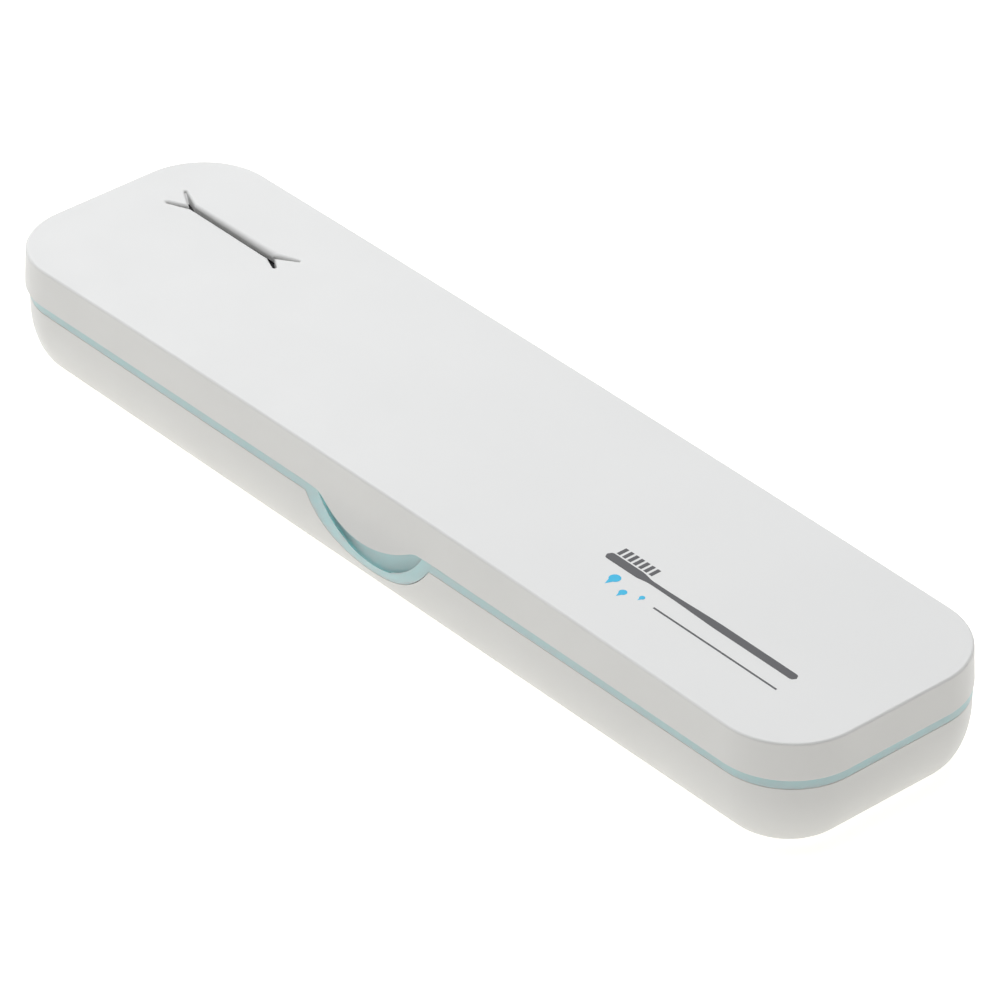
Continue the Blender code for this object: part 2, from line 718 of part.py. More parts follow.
def slit_cutters():
    """The slit over the lamp: a straight line, and at each end two short arms that don't go through."""
    low, high = LID_CEILING - MM, HEIGHT + MM
    made = [tapered_slot("slit_line", SLIT_LEFT, SLIT_RADIUS, SLIT_RIGHT, SLIT_RADIUS, low, high)]
    for i, (end, reach) in enumerate(SLIT_ARMS):
        tip = end + Vector(reach) * MM
        depth = HEIGHT - SLIT_ARM_DEPTH - i * 0.01 * MM
        arm = tapered_slot(f"slit_arm_{i}", end, SLIT_RADIUS, tip, SLIT_TIP_RADIUS, depth, high)
        made.append(arm)
    return made


def flare(x, z):
    """How far the tongue stands out of the lid's front wall at a point."""
    if z >= FLARE_START:
        return -0.05 * MM
    down = (FLARE_START - z) / (FLARE_START - TONGUE_LOW)
    out = min(max((FLARE_END - abs(x)) / (FLARE_END - FLARE_FULL), 0), 1)
    return TONGUE_FLARE * down**2 * out**2 * (3 - 2 * out)


def tongue(columns=12, rows=6):
    """The tongue as upright strips of wall, from inside the lid's front wall down to its curved end."""
    radius, centre = curved_bottom(TONGUE_HALF, TONGUE_LOW, LID_RIM)
    top = FLARE_START + 0.2 * MM
    sections = []
    for i in range(columns + 1):
        x = TONGUE_HALF * (2 * i / columns - 1)
        end = centre - math.sqrt(radius**2 - x**2)
        levels = [top + (end - top) * j / rows for j in range(rows + 1)]
        outer = [(x, FRONT - flare(x, z), z) for z in levels]
        inner = [(x, FRONT - flare(x, z) + WALL - 0.05 * MM, z) for z in reversed(levels)]
        sections.append(outer + inner)
    return loft("tongue", sections)


def lid_knuckle(name, centre):
    y, z, r = HINGE_Y, HINGE_Z, KNUCKLE_RADIUS
    top = z + 3.0 * MM
    barrel = arc(r, 180, 360, 10, (y, z))[1:]
    web = [(y + r, z + 0.6 * MM), (y - 0.3 * MM, top), (y - 1.6 * MM, top), (y - r + 0.2 * MM, z)]
    ends = centre - LID_KNUCKLE_HALF, centre + LID_KNUCKLE_HALF
    return plate(name, [*barrel, *web], *ends, plane="YZ")


def build_lid_shell():
    lid = case_loft("lid_shell", lid_rings(9 * MM), "white_plastic", cap_first=False)
    solidify(lid, WALL)
    cut(lid, block("under_lid", (-LENGTH, -WIDTH, 0), (LENGTH, WIDTH, LID_RIM)))
    join(lid, tongue())
    for side, centre in HINGE_CENTRES.items():
        join(lid, lid_knuckle(f"lid_knuckle_{side}", centre))
    start, end = BASE_KNUCKLE_START - RUNNING_GAP / 2, HINGE_HALF + RUNNING_GAP
    for label, low_x, high_x in hinge_spans(start, end):
        cut(lid, along_hinge(f"base_knuckle_room_{label}", KNUCKLE_CLEARANCE, low_x, high_x))
    cut(lid, PIN_BORE)
    for name, (x, y, radius) in MAGNETS.items():
        boss = (x, y, BOSS_MOUTH), (x, y, LID_CEILING + 0.4 * MM)
        seat = (x, y, BOSS_MOUTH - MM), (x, y, BOSS_MOUTH + 2.2 * MM)
        join(lid, rod(name + "_boss", radius + MM, *boss))
        cut(lid, rod(name + "_seat", radius + 0.15 * MM, *seat))
    cut(lid, *slit_cutters())
    return smooth(lid, 30)


def build_lid_inner_pieces():
    for name, (x, y, radius) in MAGNETS.items():
        rod(name, radius, (x, y, BOSS_MOUTH + 0.1 * MM), (x, y, BOSS_MOUTH + 2.0 * MM), "magnet")
    block(
        "slit_window",
        (-103.0 * MM, 4.5 * MM, LID_CEILING - 1.1 * MM),
        (-63.0 * MM, 13.5 * MM, LID_CEILING - 0.1 * MM),
        "smoke_window",
    )
    block(
        "lid_reflector",
        (-98.0 * MM, -20.0 * MM, LID_CEILING - 0.5 * MM),
        (-40.0 * MM, 3.9 * MM, LID_CEILING - 0.1 * MM),
        "aluminium",
    )


# ---------------------------------------------------------------- lamp


def build_lamp():
    tip = LAMP_RADIUS * 0.55
    length = LAMP_END - LAMP_START
    end = [(0, 0), (tip, 0.2 * MM), (LAMP_RADIUS, MM)]
    tube = [(r, length - z) for r, z in end] + end[::-1]
    turned("uv_lamp", tube, (LAMP_START, BAY_Y, LAMP_Z), (1, 0, 0), "lamp_glass", segments=16)
    for label, low_x in (("left", LAMP_START - 1.2 * MM), ("right", LAMP_END - 3.0 * MM)):
        holder = block(
            f"lamp_holder_{label}",
            (low_x, BAY_Y - 3.4 * MM, BASE_FLOOR + 0.1 * MM),
            (low_x + 4.2 * MM, BAY_Y + 3.4 * MM, 13.2 * MM),
            "ceramic",
        )
        inner = low_x + (1.0 * MM if label == "left" else -MM)
        start, end = (inner, BAY_Y, LAMP_Z), (inner + 4.2 * MM, BAY_Y, LAMP_Z)
        cut(holder, rod(f"lamp_socket_{label}", LAMP_RADIUS + 0.2 * MM, start, end))
    # A bright trough under and behind the tube, open to the brushes and to the slit
    outer = arc(5.0 * MM, -165, 70, 14, (BAY_Y, LAMP_Z))
    inner = arc(4.6 * MM, 70, -165, 14, (BAY_Y, LAMP_Z))
    plate("lamp_reflector", [*outer, *inner], -96.2 * MM, -48.8 * MM, "aluminium", plane="YZ")
    smooth(bpy.data.objects["lamp_reflector"])


def build_lamp_guard():
    guard = block(
        "lamp_guard", (-96.3 * MM, 5.0 * MM, 5.2 * MM), (-47.7 * MM, 5.9 * MM, 13.8 * MM), "white_insert"
    )
    for i in range(GUARD_SLOTS):
        x = GUARD_START + i * GUARD_PITCH
        cut(guard, block(f"guard_slot_{i}", (x, 4 * MM, 6.3 * MM), (x + 3.2 * MM, 7 * MM, 12.7 * MM)))


# ---------------------------------------------------------------- batteries and electronics


def build_batteries():
    r, length, nub = BATTERY_RADIUS, BATTERY_LENGTH, BATTERY_NUB
    profile = [
        (0, length),
        (1.8 * MM, length),
        (1.8 * MM, length - nub),
        (r - 0.4 * MM, length - nub),
        (r, length - nub - 0.4 * MM),
        (r, 0.4 * MM),
        (r - 0.4 * MM, 0),
        (0, 0),
    ]
    for side, start in BATTERY_STARTS.items():
        at = (start + length, BAY_Y, BATTERY_Z)
        turned(f"battery_{side}", profile, at, (-1, 0, 0), "battery_jacket", segments=24)


def build_contacts():
    low_x = BATTERY_STARTS["left"] - 0.9 * MM
    block(
        "battery_contact_plate",
        (low_x, 9.0 * MM, 3.9 * MM),
        (low_x + 0.5 * MM, 17.0 * MM, 12.6 * MM),
        "steel",
    )
    end = BATTERY_STARTS["right"] + BATTERY_LENGTH
    block(
        "battery_spring_plate",
        (SPRING_PLATE_X, 9.0 * MM, 3.4 * MM),
        (SPRING_PLATE_X + 0.4 * MM, 17.0 * MM, 12.6 * MM),
        "steel",
    )
    start_x, end_x = end + 0.7 * MM, SPRING_PLATE_X - 0.7 * MM
    turns, per_turn = 4, 9
    count = turns * per_turn
    coil = []
    for i in range(count + 1):
        share = i / count
        radius = (2.2 + 1.6 * share) * MM
        angle = 2 * math.pi * i / per_turn
        x = start_x + (end_x - start_x) * share
        coil.append((x, BAY_Y + radius * math.cos(angle), BATTERY_Z + radius * math.sin(angle)))
    wire("battery_spring", coil, 0.35 * MM, "steel")


def on_board(name, low, high, finish):
    """A box on the board, given by its footprint's corners in millimetres and its height."""
    (x0, y0), (x1, y1, height) = low, high
    corners = (x0 * MM, y0 * MM, PARTS_LOW), (x1 * MM, y1 * MM, PARTS_LOW + height * MM)
    return block(name, *corners, finish)


def build_electronics():
    board = (-38 * MM, 7.6 * MM, BOARD_LOW), (-7 * MM, 20.0 * MM, BOARD_TOP)
    block("circuit_board", *board, "circuit_green")
    on_board("control_chip", (-24.5, 14.9), (-19.5, 18.8, 1.5), "component_black")
    core = on_board("inverter_transformer", (-36.6, 9.2), (-28.4, 17.2, 6.4), "winding_tape")
    waist = PARTS_LOW + 1.2 * MM, PARTS_LOW + 5.2 * MM
    for label, low_y, high_y in (("front", 8.0 * MM, 11.0 * MM), ("back", 15.4 * MM, 18.0 * MM)):
        room = (-37.0 * MM, low_y, waist[0]), (-25.5 * MM, high_y, waist[1])
        cut(core, block(f"transformer_waist_{label}", *room))
    can = [(0, 6.6), (1.8, 6.6), (2.0, 6.4), (2.0, 1.4), (1.8, 1.1), (2.0, 0.8), (2.0, 0), (0, 0)]
    profile = [(r * MM, z * MM) for r, z in can]
    turned("capacitor", profile, (-25.6 * MM, 9.8 * MM, PARTS_LOW), (0, 0, 1), "component_black")
    reed = [(0, 12 * MM), (0.9 * MM, 11 * MM), (0.9 * MM, MM), (0, 0)]
    reed_at = (-20.5 * MM, 8.8 * MM, PARTS_LOW + 1.1 * MM)
    turned("reed_switch", reed, reed_at, (1, 0, 0), "lamp_glass", segments=12)
    led = (LIGHT_PIPE_X, BAY_Y, PARTS_LOW), (LIGHT_PIPE_X, BAY_Y, PARTS_LOW + 1.4 * MM)
    rod("status_led", 1.0 * MM, *led, "light_pipe", segments=16)
    length = 9.0 * MM
    pipe = [(0, length + 0.2 * MM), (0.7 * MM, length + 0.1 * MM), (MM, length - 0.2 * MM), (MM, 0), (0, 0)]
    foot = (LIGHT_PIPE_X, BAY_Y, COVER_TOP - length)
    turned("light_pipe", pipe, foot, (0, 0, 1), "light_pipe", segments=16)
    build_switch(PARTS_LOW)


def build_switch(low):
    housing = block(
        "switch_housing",
        (BUTTON_X - 3 * MM, BAY_Y - 3 * MM, low),
        (BUTTON_X + 3 * MM, BAY_Y + 3 * MM, low + 3.4 * MM),
        "component_black",
    )
    well = (BUTTON_X, BAY_Y, low + 1.0 * MM), (BUTTON_X, BAY_Y, low + 5 * MM)
    cut(housing, rod("switch_well", 1.9 * MM, *well))
    plunger = (BUTTON_X, BAY_Y, low + 2.2 * MM), (BUTTON_X, BAY_Y, low + 4.6 * MM)
    rod("switch_plunger", 1.6 * MM, *plunger, "component_black", 16)
    stem_low = low + 4.7 * MM
    top, flange = COVER_TOP + BUTTON_TRAVEL, COVER_LOW - 0.3 * MM
    cap = [
        (0, top),
        (2.6 * MM, top - 0.1 * MM),
        (3.6 * MM, top - 0.35 * MM),
        (4.0 * MM, top - 0.8 * MM),
        (4.0 * MM, flange),
        (4.8 * MM, flange),
        (4.8 * MM, flange - 0.8 * MM),
        (1.3 * MM, flange - 0.8 * MM),
        (1.3 * MM, stem_low),
        (0, stem_low),
    ]
    turned("start_button", cap, (BUTTON_X, BAY_Y, 0), (0, 0, 1), "blue_plastic", segments=28)


def build_wires():
    """Leads that lie along the bay, from the board to the lamp's ends and the battery contacts."""
    to_left_end = [(-38.6, 18.2, 5.0), (-41.5, 19.5, 7.6), (-52, 19.6, 9.5)]
    to_left_end += [(-75, 18.9, 9.5), (-96, 18.9, 9.0), (-101, 17.8, 9.0)]
    to_right_end = [(-38.6, 10.2, 5.0), (-40.2, 9.4, 7.8), (-42.4, 10.4, 8.2), (-43.6, 12.0, 8.8)]
    to_plus = [(-6.5, 12.0, 5.9), (-5.6, 12.0, 7.5), (-5.0, 12.0, 9.6), (-4.0, 12.0, 11.0)]
    to_minus = [(-6.5, 17.0, 6.0), (-5.2, 19.0, 9.2), (2, 20.6, 10.6), (30, 20.8, 10.8)]
    to_minus += [(70, 20.8, 10.8), (90, 20.6, 10.6), (94.4, 18.6, 10.2), (94.2, 15.6, 10.2)]
    routes = {
        "lamp_lead_left": ("wire_black", to_left_end),
        "lamp_lead_right": ("wire_black", to_right_end),
        "battery_lead_plus": ("wire_red", to_plus),
        "battery_lead_minus": ("wire_black", to_minus),
    }
    for name, (finish, points) in routes.items():
        wire(name, smooth_route([Vector(point) * MM for point in points], 3), 0.5 * MM, finish)


# ---------------------------------------------------------------- fasteners


def screw(name, x, y, head_z, length, points_up):
    """A countersunk cross-head screw, its head's flat face at head_z."""
    head, shank = SCREW_HEAD_RADIUS, SCREW_SHANK_RADIUS
    profile = [
        (0, 0),
        (head, 0),
        (head, -0.2 * MM),
        (shank, -1.2 * MM),
        (shank, -length + 1.2 * MM),
        (0, -length),
    ]
    axis = (0, 0, -1) if points_up else (0, 0, 1)
    made = turned(name, profile, (x, y, head_z), axis, "steel", segments=16)
    low, high = head_z - 0.6 * MM, head_z + 0.6 * MM
    for i, (dx, dy) in enumerate(((1.1, 0.25), (0.25, 1.1))):
        arm = (x - dx * MM, y - dy * MM, low), (x + dx * MM, y + dy * MM, high)
        cut(made, block(f"{name}_cross_{i}", *arm))
    return made


def build_fasteners():
    for label, (x, y) in CASE_SCREWS.items():
        screw(f"case_screw_{label}", x, y, BASE_BOTTOM + 0.1 * MM, 8.0 * MM, points_up=True)
    for label, (x, y) in COVER_SCREWS.items():
        screw(f"cover_screw_{label}", x, y, COVER_TOP - 0.1 * MM, 5.5 * MM, points_up=False)
    for side, centre in HINGE_CENTRES.items():
        start = (centre - HINGE_HALF, HINGE_Y, HINGE_Z)
        end = (centre + HINGE_HALF, HINGE_Y, HINGE_Z)
        rod(f"hinge_pin_{side}", PIN_RADIUS, start, end, "steel", segments=16)
    for label, side in (("left", -1), ("right", 1)):
        x = side * CATCH_X
        start, end = (x, CATCH_Y, BAND_TOP - 1.3 * MM), (x, CATCH_Y, BAND_TOP - 0.2 * MM)
        rod(f"catch_plate_{label}", CATCH_RADIUS, start, end, "steel")


# ---------------------------------------------------------------- moving groups


def group(name, at, members):
    """An empty on the joint's axis that carries the pieces that move together."""
    empty = bpy.data.objects.new(name, None)
    empty.location = at
    PARTS.objects.link(empty)
    bpy.context.view_layer.update()
    for member in members:
        obj = bpy.data.objects[member]
        obj.parent = empty
        obj.matrix_parent_inverse = empty.matrix_world.inverted()


clear_scene()
PARTS = new_collection("toothbrush_sanitizer")
CUTTERS = new_collection("cutters")
PIN_BORE = along_hinge("pin_bore", PIN_HOLE_RADIUS, -80 * MM, 80 * MM, segments=16)

build_base_shell()
build_inner_tray()
build_bay_cover()
build_lid_shell()
build_lid_inner_pieces()
build_lamp()
build_lamp_guard()
build_batteries()
build_contacts()
build_electronics()
build_wires()
build_feet()
build_battery_door()
build_fasteners()
group("lid_axis", (0, HINGE_Y, HINGE_Z), ["lid_shell", "slit_window", "lid_reflector", *MAGNETS])
group("button_axis", (BUTTON_X, BAY_Y, COVER_TOP), ["start_button", "switch_plunger"])
group("door_axis", (DOOR_LOW.x, BAY_Y, BASE_BOTTOM), ["battery_door"])
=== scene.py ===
"""Looks of the portable toothbrush sanitizer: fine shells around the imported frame, its materials, the
studio and the camera. Everything is in metres, in the frame's own coordinates."""

import json
import math

import bmesh
import bpy
from mathutils import Matrix, Vector


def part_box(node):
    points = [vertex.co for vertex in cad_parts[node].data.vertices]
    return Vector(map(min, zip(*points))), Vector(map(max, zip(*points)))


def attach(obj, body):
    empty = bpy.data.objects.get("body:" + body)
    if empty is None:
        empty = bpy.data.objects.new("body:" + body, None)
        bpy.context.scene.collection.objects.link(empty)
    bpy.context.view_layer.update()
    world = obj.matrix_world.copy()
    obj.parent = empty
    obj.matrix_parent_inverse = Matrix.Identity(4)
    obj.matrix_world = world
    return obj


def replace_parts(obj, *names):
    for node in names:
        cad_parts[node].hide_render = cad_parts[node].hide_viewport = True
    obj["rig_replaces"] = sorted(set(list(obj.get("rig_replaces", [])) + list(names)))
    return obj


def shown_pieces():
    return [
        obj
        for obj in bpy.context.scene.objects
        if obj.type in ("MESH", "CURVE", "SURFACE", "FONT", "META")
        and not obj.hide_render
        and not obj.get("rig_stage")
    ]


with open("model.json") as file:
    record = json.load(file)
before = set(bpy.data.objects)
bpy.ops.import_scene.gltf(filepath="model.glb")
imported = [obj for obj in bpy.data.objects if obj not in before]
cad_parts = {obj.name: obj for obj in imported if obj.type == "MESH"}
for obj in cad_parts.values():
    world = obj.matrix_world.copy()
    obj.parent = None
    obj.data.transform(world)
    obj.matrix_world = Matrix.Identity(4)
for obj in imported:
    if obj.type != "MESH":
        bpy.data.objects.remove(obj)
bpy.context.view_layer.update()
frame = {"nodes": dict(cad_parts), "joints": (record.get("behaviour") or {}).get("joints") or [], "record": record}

MM = 0.001

# The outside, from the frame
TRAY_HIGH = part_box("inner_tray")[1]
BASE_LOW, BASE_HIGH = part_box("base_shell")
HALF_LENGTH = TRAY_HIGH.x
HALF_WIDTH = TRAY_HIGH.y
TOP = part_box("lid_shell")[1].z
BAND_TOP = TRAY_HIGH.z
BOTTOM = BASE_LOW.z

# The case's skin
CORNER_RADIUS = 15 * MM
WALL = 1.8 * MM
HULL_INSET = 6.4 * MM
HULL_RISE = 12.1 * MM
BASE_RIM = BAND_TOP - 2.0 * MM
BAND_LOW = BASE_RIM + 0.1 * MM
LID_RIM = BAND_TOP + 0.1 * MM
LID_EDGE_RADIUS = 0.55 * MM
LID_SIT = Vector((-0.25, 0, 0)) * MM  # the lid rests a little to the left within the hinge's play
LID_DRAFT = 0.38 * MM  # how far its walls lean in from the rim to the top
CROWN_MIDDLE = 0.48 * MM  # its top bows up a little along its length, and dips at the ends
CROWN_FALL = 0.75 * MM
CROWN_BAND = 5 * MM  # the width of the bands in which it bows
LID_SPREAD = 0.55 * MM  # how far its ends and its front corners spread out
BODY_INSET = 0.2 * MM  # how far the band and the base stand back from the lid's rim
LID_CEILING = TOP - WALL
CORNER_STEPS = 20
HULL_STEPS = 18
SHARP_ANGLE = math.radians(32)  # edges sharper than this stay crisp in the shading
ABOVE_RIM = 22 * MM  # a level clear of the tray's rim, for cutters

# The tray inside the base: how deep its outside and its inside lie under the case's skin, and the wall
# between the brushes and the electronics
TRAY_DEPTH = 2.1 * MM
POCKET_DEPTH = 3.3 * MM
DIVIDER_FRONT = 4.8 * MM
DIVIDER_BACK = 6.0 * MM
DIVIDER_TOP = 15.1 * MM
TRAY_FLOOR = BOTTOM + POCKET_DEPTH
BACK_WALL = 24.3 * MM  # inside the wall, where the pieces joined to it end
RIB_HALF = 0.8 * MM  # half the thickness of ribs and webs
BRUSH_RESTS = (-60 * MM, 35 * MM, 80 * MM)
BRUSH_PLACES = (-15.6 * MM, -3.0 * MM)
BRUSH_REST_TOP = 8.6 * MM
BRUSH_NOTCH = 5.2 * MM
BRUSH_NOTCH_LEVEL = 10.2 * MM
COVER_LEDGES = (-88 * MM, -20 * MM, 30 * MM, 90 * MM)
BAY_OPENING = (-104.5 * MM, 6.2 * MM, -MM), (95.2 * MM, 20.6 * MM, 8.4 * MM)
LAMP_WINDOW = (-96.5 * MM, 4 * MM, 5.0 * MM), (-47.5 * MM, 7 * MM, 14.0 * MM)

# The base: the walls round the cells, the way in to them, and the posts under the board
CELL_CRADLE = (  # low and high corners in millimetres
    ((-4.6, 6.5, 1.9), (94.2, 7.3, 8.0)),
    ((-4.6, 18.7, 1.9), (94.2, 19.5, 8.0)),
    ((-4.7, 6.6, 1.9), (-3.9, 19.4, 8.0)),
    ((93.5, 6.6, 1.9), (94.3, 19.4, 8.0)),
)
CELL_OPENING = (-1.8 * MM, 7.6 * MM, -MM), (90.8 * MM, 18.4 * MM, 3.0 * MM)
BOARD_POSTS = (-34 * MM, -11 * MM)
SEAT_PLAY = 0.15 * MM  # round magnets and feet
DOOR_PLAY = 0.2 * MM

# The thumb scoop: a round notch in the base's front, filled by the tray, which is hollowed for a finger
SCOOP_X = -0.7 * MM
SCOOP_RADIUS = 20.6 * MM
SCOOP_CENTRE = 26.15 * MM  # the level of the notch's axis
SCOOP_FRONT = -32 * MM
SCOOP_BACK = -22.3 * MM
SCOOP_SEAM = 0.1 * MM
SCOOP_MOUTH_TOP = 18.5 * MM
HOLLOW_X = 0.1 * MM
HOLLOW_SLICES = (  # y, half width and lowest level in millimetres
    (-29.0, 14.7, 8.3),
    (-26.8, 14.7, 8.3),
    (-26.5, 14.7, 7.9),
    (-26.1, 14.6, 7.8),
    (-25.7, 14.2, 8.6),
    (-25.4, 13.5, 10.2),
    (-25.15, 12.6, 12.4),
    (-25.0, 11.5, 14.6),
)

# The lid's tongue hangs over the scoop and flares outwards for the fingertip
TONGUE_X = -0.3 * MM
TONGUE_HALF = 13.2 * MM
TONGUE_LOW = 13.05 * MM
TONGUE_BLEND = 0.9 * MM
TONGUE_FLARE = 1.35 * MM
FLARE_START = 20.0 * MM
FLARE_FULL = 8.0 * MM  # half the width over which the flare is whole
FLARE_END = 20.0 * MM  # half the width at which it is gone

# The hinge, from the frame
HINGE = next(joint for joint in frame["joints"] if joint["name"] == "lid_hinge")
HINGE_Y, HINGE_Z = HINGE["pos_m"][1:]
KNUCKLE_RADIUS = BASE_HIGH.y - HINGE_Y
KNUCKLE_ROOM = KNUCKLE_RADIUS + 0.3 * MM
PIN_HOLE = 0.95 * MM
PIN_REACH = 80 * MM
HINGE_CENTRES = (-60 * MM, 60 * MM)
HINGE_HALF = 12 * MM
HINGE_PLAY = 0.15 * MM
HINGE_END_PLAY = 0.3 * MM
LID_KNUCKLE_HALF = 5.7 * MM
BASE_KNUCKLE_START = 6.0 * MM


# ---------------------------------------------------------------- mesh tools


def shape(name, bm):
    """A mesh object from a bmesh, with its faces turned outwards."""
    bmesh.ops.recalc_face_normals(bm, faces=bm.faces)
    mesh = bpy.data.meshes.new(name)
    bm.to_mesh(mesh)
    bm.free()
    obj = bpy.data.objects.new(name, mesh)
    bpy.context.scene.collection.objects.link(obj)
    return obj


def arc(radius, start, end, steps, centre=(0, 0)):
    """Points along an arc, with angles in degrees."""
    turns = [math.radians(start + (end - start) * i / steps) for i in range(steps + 1)]
    return [(centre[0] + radius * math.cos(t), centre[1] + radius * math.sin(t)) for t in turns]


def loft(name, sections):
    """Joins rings with the same number of points each, and closes both ends."""
    bm = bmesh.new()
    rows = [[bm.verts.new(point) for point in section] for section in sections]
    count = len(rows[0])
    for near, far in zip(rows, rows[1:]):
        for i in range(count):
            j = (i + 1) % count
            bm.faces.new((near[i], near[j], far[j], far[i]))
    bm.faces.new(reversed(rows[0]))
    bm.faces.new(rows[-1])
    return shape(name, bm)


def rounded_block(name, low, high, radius=0.3 * MM):
    """A box between two corners with rounded edges."""
    low, high = Vector(low), Vector(high)
    size, middle = high - low, (low + high) / 2
    bm = bmesh.new()
    bmesh.ops.create_cube(bm, size=1, matrix=Matrix.Translation(middle) @ Matrix.Diagonal((*size, 1)))
    if radius:
        bmesh.ops.bevel(bm, geom=bm.edges[:], offset=radius, segments=3, profile=0.5, affect="EDGES")
    return shape(name, bm)


def block(name, low, high):
    return rounded_block(name, low, high, radius=0)


def lathe(name, profile, at, axis, segments):
    """Turns (radius, height) points round an axis that starts at a point. Radius 0 makes a pole."""
    turn = Matrix.Translation(Vector(at)) @ Vector(axis).to_track_quat("Z", "Y").to_matrix().to_4x4()
    bm = bmesh.new()
    rows = []
    for radius, height in profile:
        count = segments if radius > 0 else 1
        angles = [2 * math.pi * i / segments for i in range(count)]
        ring = [Vector((radius * math.cos(a), radius * math.sin(a), height)) for a in angles]
        rows.append([bm.verts.new(turn @ point) for point in ring])
    for near, far in zip(rows, rows[1:]):
        for i in range(segments):
            j = (i + 1) % segments
            corners = [near[i % len(near)], near[j % len(near)], far[j % len(far)], far[i % len(far)]]
            unique = list(dict.fromkeys(corners))
            if len(unique) > 2:
                bm.faces.new(unique)
    return shape(name, bm)


def rod(name, radius, start, end, end_radius=None, segments=48, edge=0):
    """A cylinder or cone between two points, with its end edges rounded by the edge radius."""
    start, end = Vector(start), Vector(end)
    length = (end - start).length
    last = radius if end_radius is None else end_radius
    if edge:
        foot = [(radius - edge + x, edge - y) for x, y in arc(edge, 90, 0, 4)]
        head = [(last - edge + x, length - edge + y) for x, y in arc(edge, 0, 90, 4)]
        profile = [(0, 0), *foot, *head, (0, length)]
    else:
        profile = [(0, 0), (radius, 0), (last, length), (0, length)]
    return lathe(name, profile, start, end - start, segments)


def prism(name, outline, low, high, plane="XY", edge=0):
    """A flat outline given thickness, standing on the plane named; its end edges may be rounded."""
    place = {"XY": lambda a, b, c: (a, b, c), "YZ": lambda a, b, c: (c, a, b)}[plane]
    bm = bmesh.new()
    low_ring = [bm.verts.new(place(a, b, low)) for a, b in outline]
    high_ring = [bm.verts.new(place(a, b, high)) for a, b in outline]
    count = len(outline)
    for i in range(count):
        j = (i + 1) % count
        bm.faces.new((low_ring[i], low_ring[j], high_ring[j], high_ring[i]))
    ends = [bm.faces.new(low_ring), bm.faces.new(high_ring)]
    if edge:
        rims = [e for face in ends for e in face.edges]
        bmesh.ops.bevel(bm, geom=rims, offset=edge, segments=2, profile=0.5, affect="EDGES")
    return shape(name, bm)


def carve(obj, *steps):
    """Applies Booleans in order, as ("cut" or "join" or "keep", tool) pairs, and removes the tools."""
    operations = {"cut": "DIFFERENCE", "join": "UNION", "keep": "INTERSECT"}
    for word, tool in steps:
        step = obj.modifiers.new(word, "BOOLEAN")
        step.operation = operations[word]
        step.object = tool
        step.solver = "EXACT"
    graph = bpy.context.evaluated_depsgraph_get()
    mesh = bpy.data.meshes.new_from_object(obj.evaluated_get(graph))
    obj.modifiers.clear()
    obj.data = mesh
    for tool in {tool for _, tool in steps}:
        bpy.data.objects.remove(tool)
    return obj


def merged(name, *shapes):
    """Several shapes as one object."""
    bm = bmesh.new()
    for each in shapes:
        bm.from_mesh(each.data)
        bpy.data.objects.remove(each)
    return shape(name, bm)


def finished(obj, look, body, slot, *nodes):
    """Gives a shape its material and shading and puts it on its body in place of CAD nodes."""
    obj.data.materials.clear()
    obj.data.materials.append(look)
    obj.data.shade_smooth()
    obj.data.set_sharp_from_angle(angle=SHARP_ANGLE)
    normals = obj.modifiers.new("even shading", "WEIGHTED_NORMAL")
    normals.keep_sharp = True
    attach(obj, body)
    if nodes:
        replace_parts(obj, *nodes)


# ---------------------------------------------------------------- the case's own shapes


def case_outline(inset, front_marks=()):
    """The case's rounded rectangle from above, moved in by the inset, anticlockwise. The front side
    also gets a point at each of the marks along X."""
    radius = CORNER_RADIUS - inset
    x, y = HALF_LENGTH - CORNER_RADIUS, HALF_WIDTH - CORNER_RADIUS
    points = []
    for cx, cy, turn in ((x, y, 0), (-x, y, 90), (-x, -y, 180)):
        points += arc(radius, turn, turn + 90, CORNER_STEPS, (cx, cy))
    points += [(mark, inset - HALF_WIDTH) for mark in front_marks]
    return points + arc(radius, 270, 360, CORNER_STEPS, (x, -y))


def case_loft(name, rings):
    """A shape from the case's outline at each inset and height."""
    return loft(name, [[(x, y, z) for x, y in case_outline(inset)] for inset, z in rings])


def hull_ring(turn, depth):
    """Inset and height of the base's skin at an angle down its bottom curve, moved in by a depth."""
    inset = BODY_INSET + (HULL_INSET - BODY_INSET) * (1 - math.cos(turn))
    height = BOTTOM + HULL_RISE * (1 - math.sin(turn))
    out = Vector((math.cos(turn) / HULL_INSET, math.sin(turn) / HULL_RISE)).normalized()
    return inset + depth * out.x, height + depth * out.y


def hull_curve(depth):
    """The base's skin from its wall down to its bottom, moved in by a depth."""
    return [hull_ring(math.pi / 2 * i / HULL_STEPS, depth) for i in range(HULL_STEPS + 1)]


def rounded_top(inset, top, radius, steps=4):
    """Rings over an outer top edge, from the flat top down to the wall."""
    return [(inset + radius - x, top - radius + y) for x, y in arc(radius, 90, 0, steps)]


def curved_bottom(half_width, low, level):
    """Radius and centre level of an arc with its lowest point at low and a half width at a level."""
    drop = level - low
    radius = (half_width**2 + drop**2) / (2 * drop)
    return radius, low + radius


def smooth_route(points, per_leg):
    """A Catmull-Rom curve through the points."""
    padded = [points[0], *points, points[-1]]
    route = []
    for i in range(len(points) - 1):
        a, b, c, d = (Vector(p) for p in padded[i : i + 4])
        for k in range(per_leg):
            t = k / per_leg
            square = (2 * a - 5 * b + 4 * c - d) * t**2
            cube = (3 * b - a - 3 * c + d) * t**3
            route.append((2 * b + (c - a) * t + square + cube) / 2)
    return [*route, Vector(points[-1])]


def along_hinge(name, radius, low_x, high_x):
    """A cylinder on the hinge's axis."""
    return rod(name, radius, (low_x, HINGE_Y, HINGE_Z), (high_x, HINGE_Y, HINGE_Z))


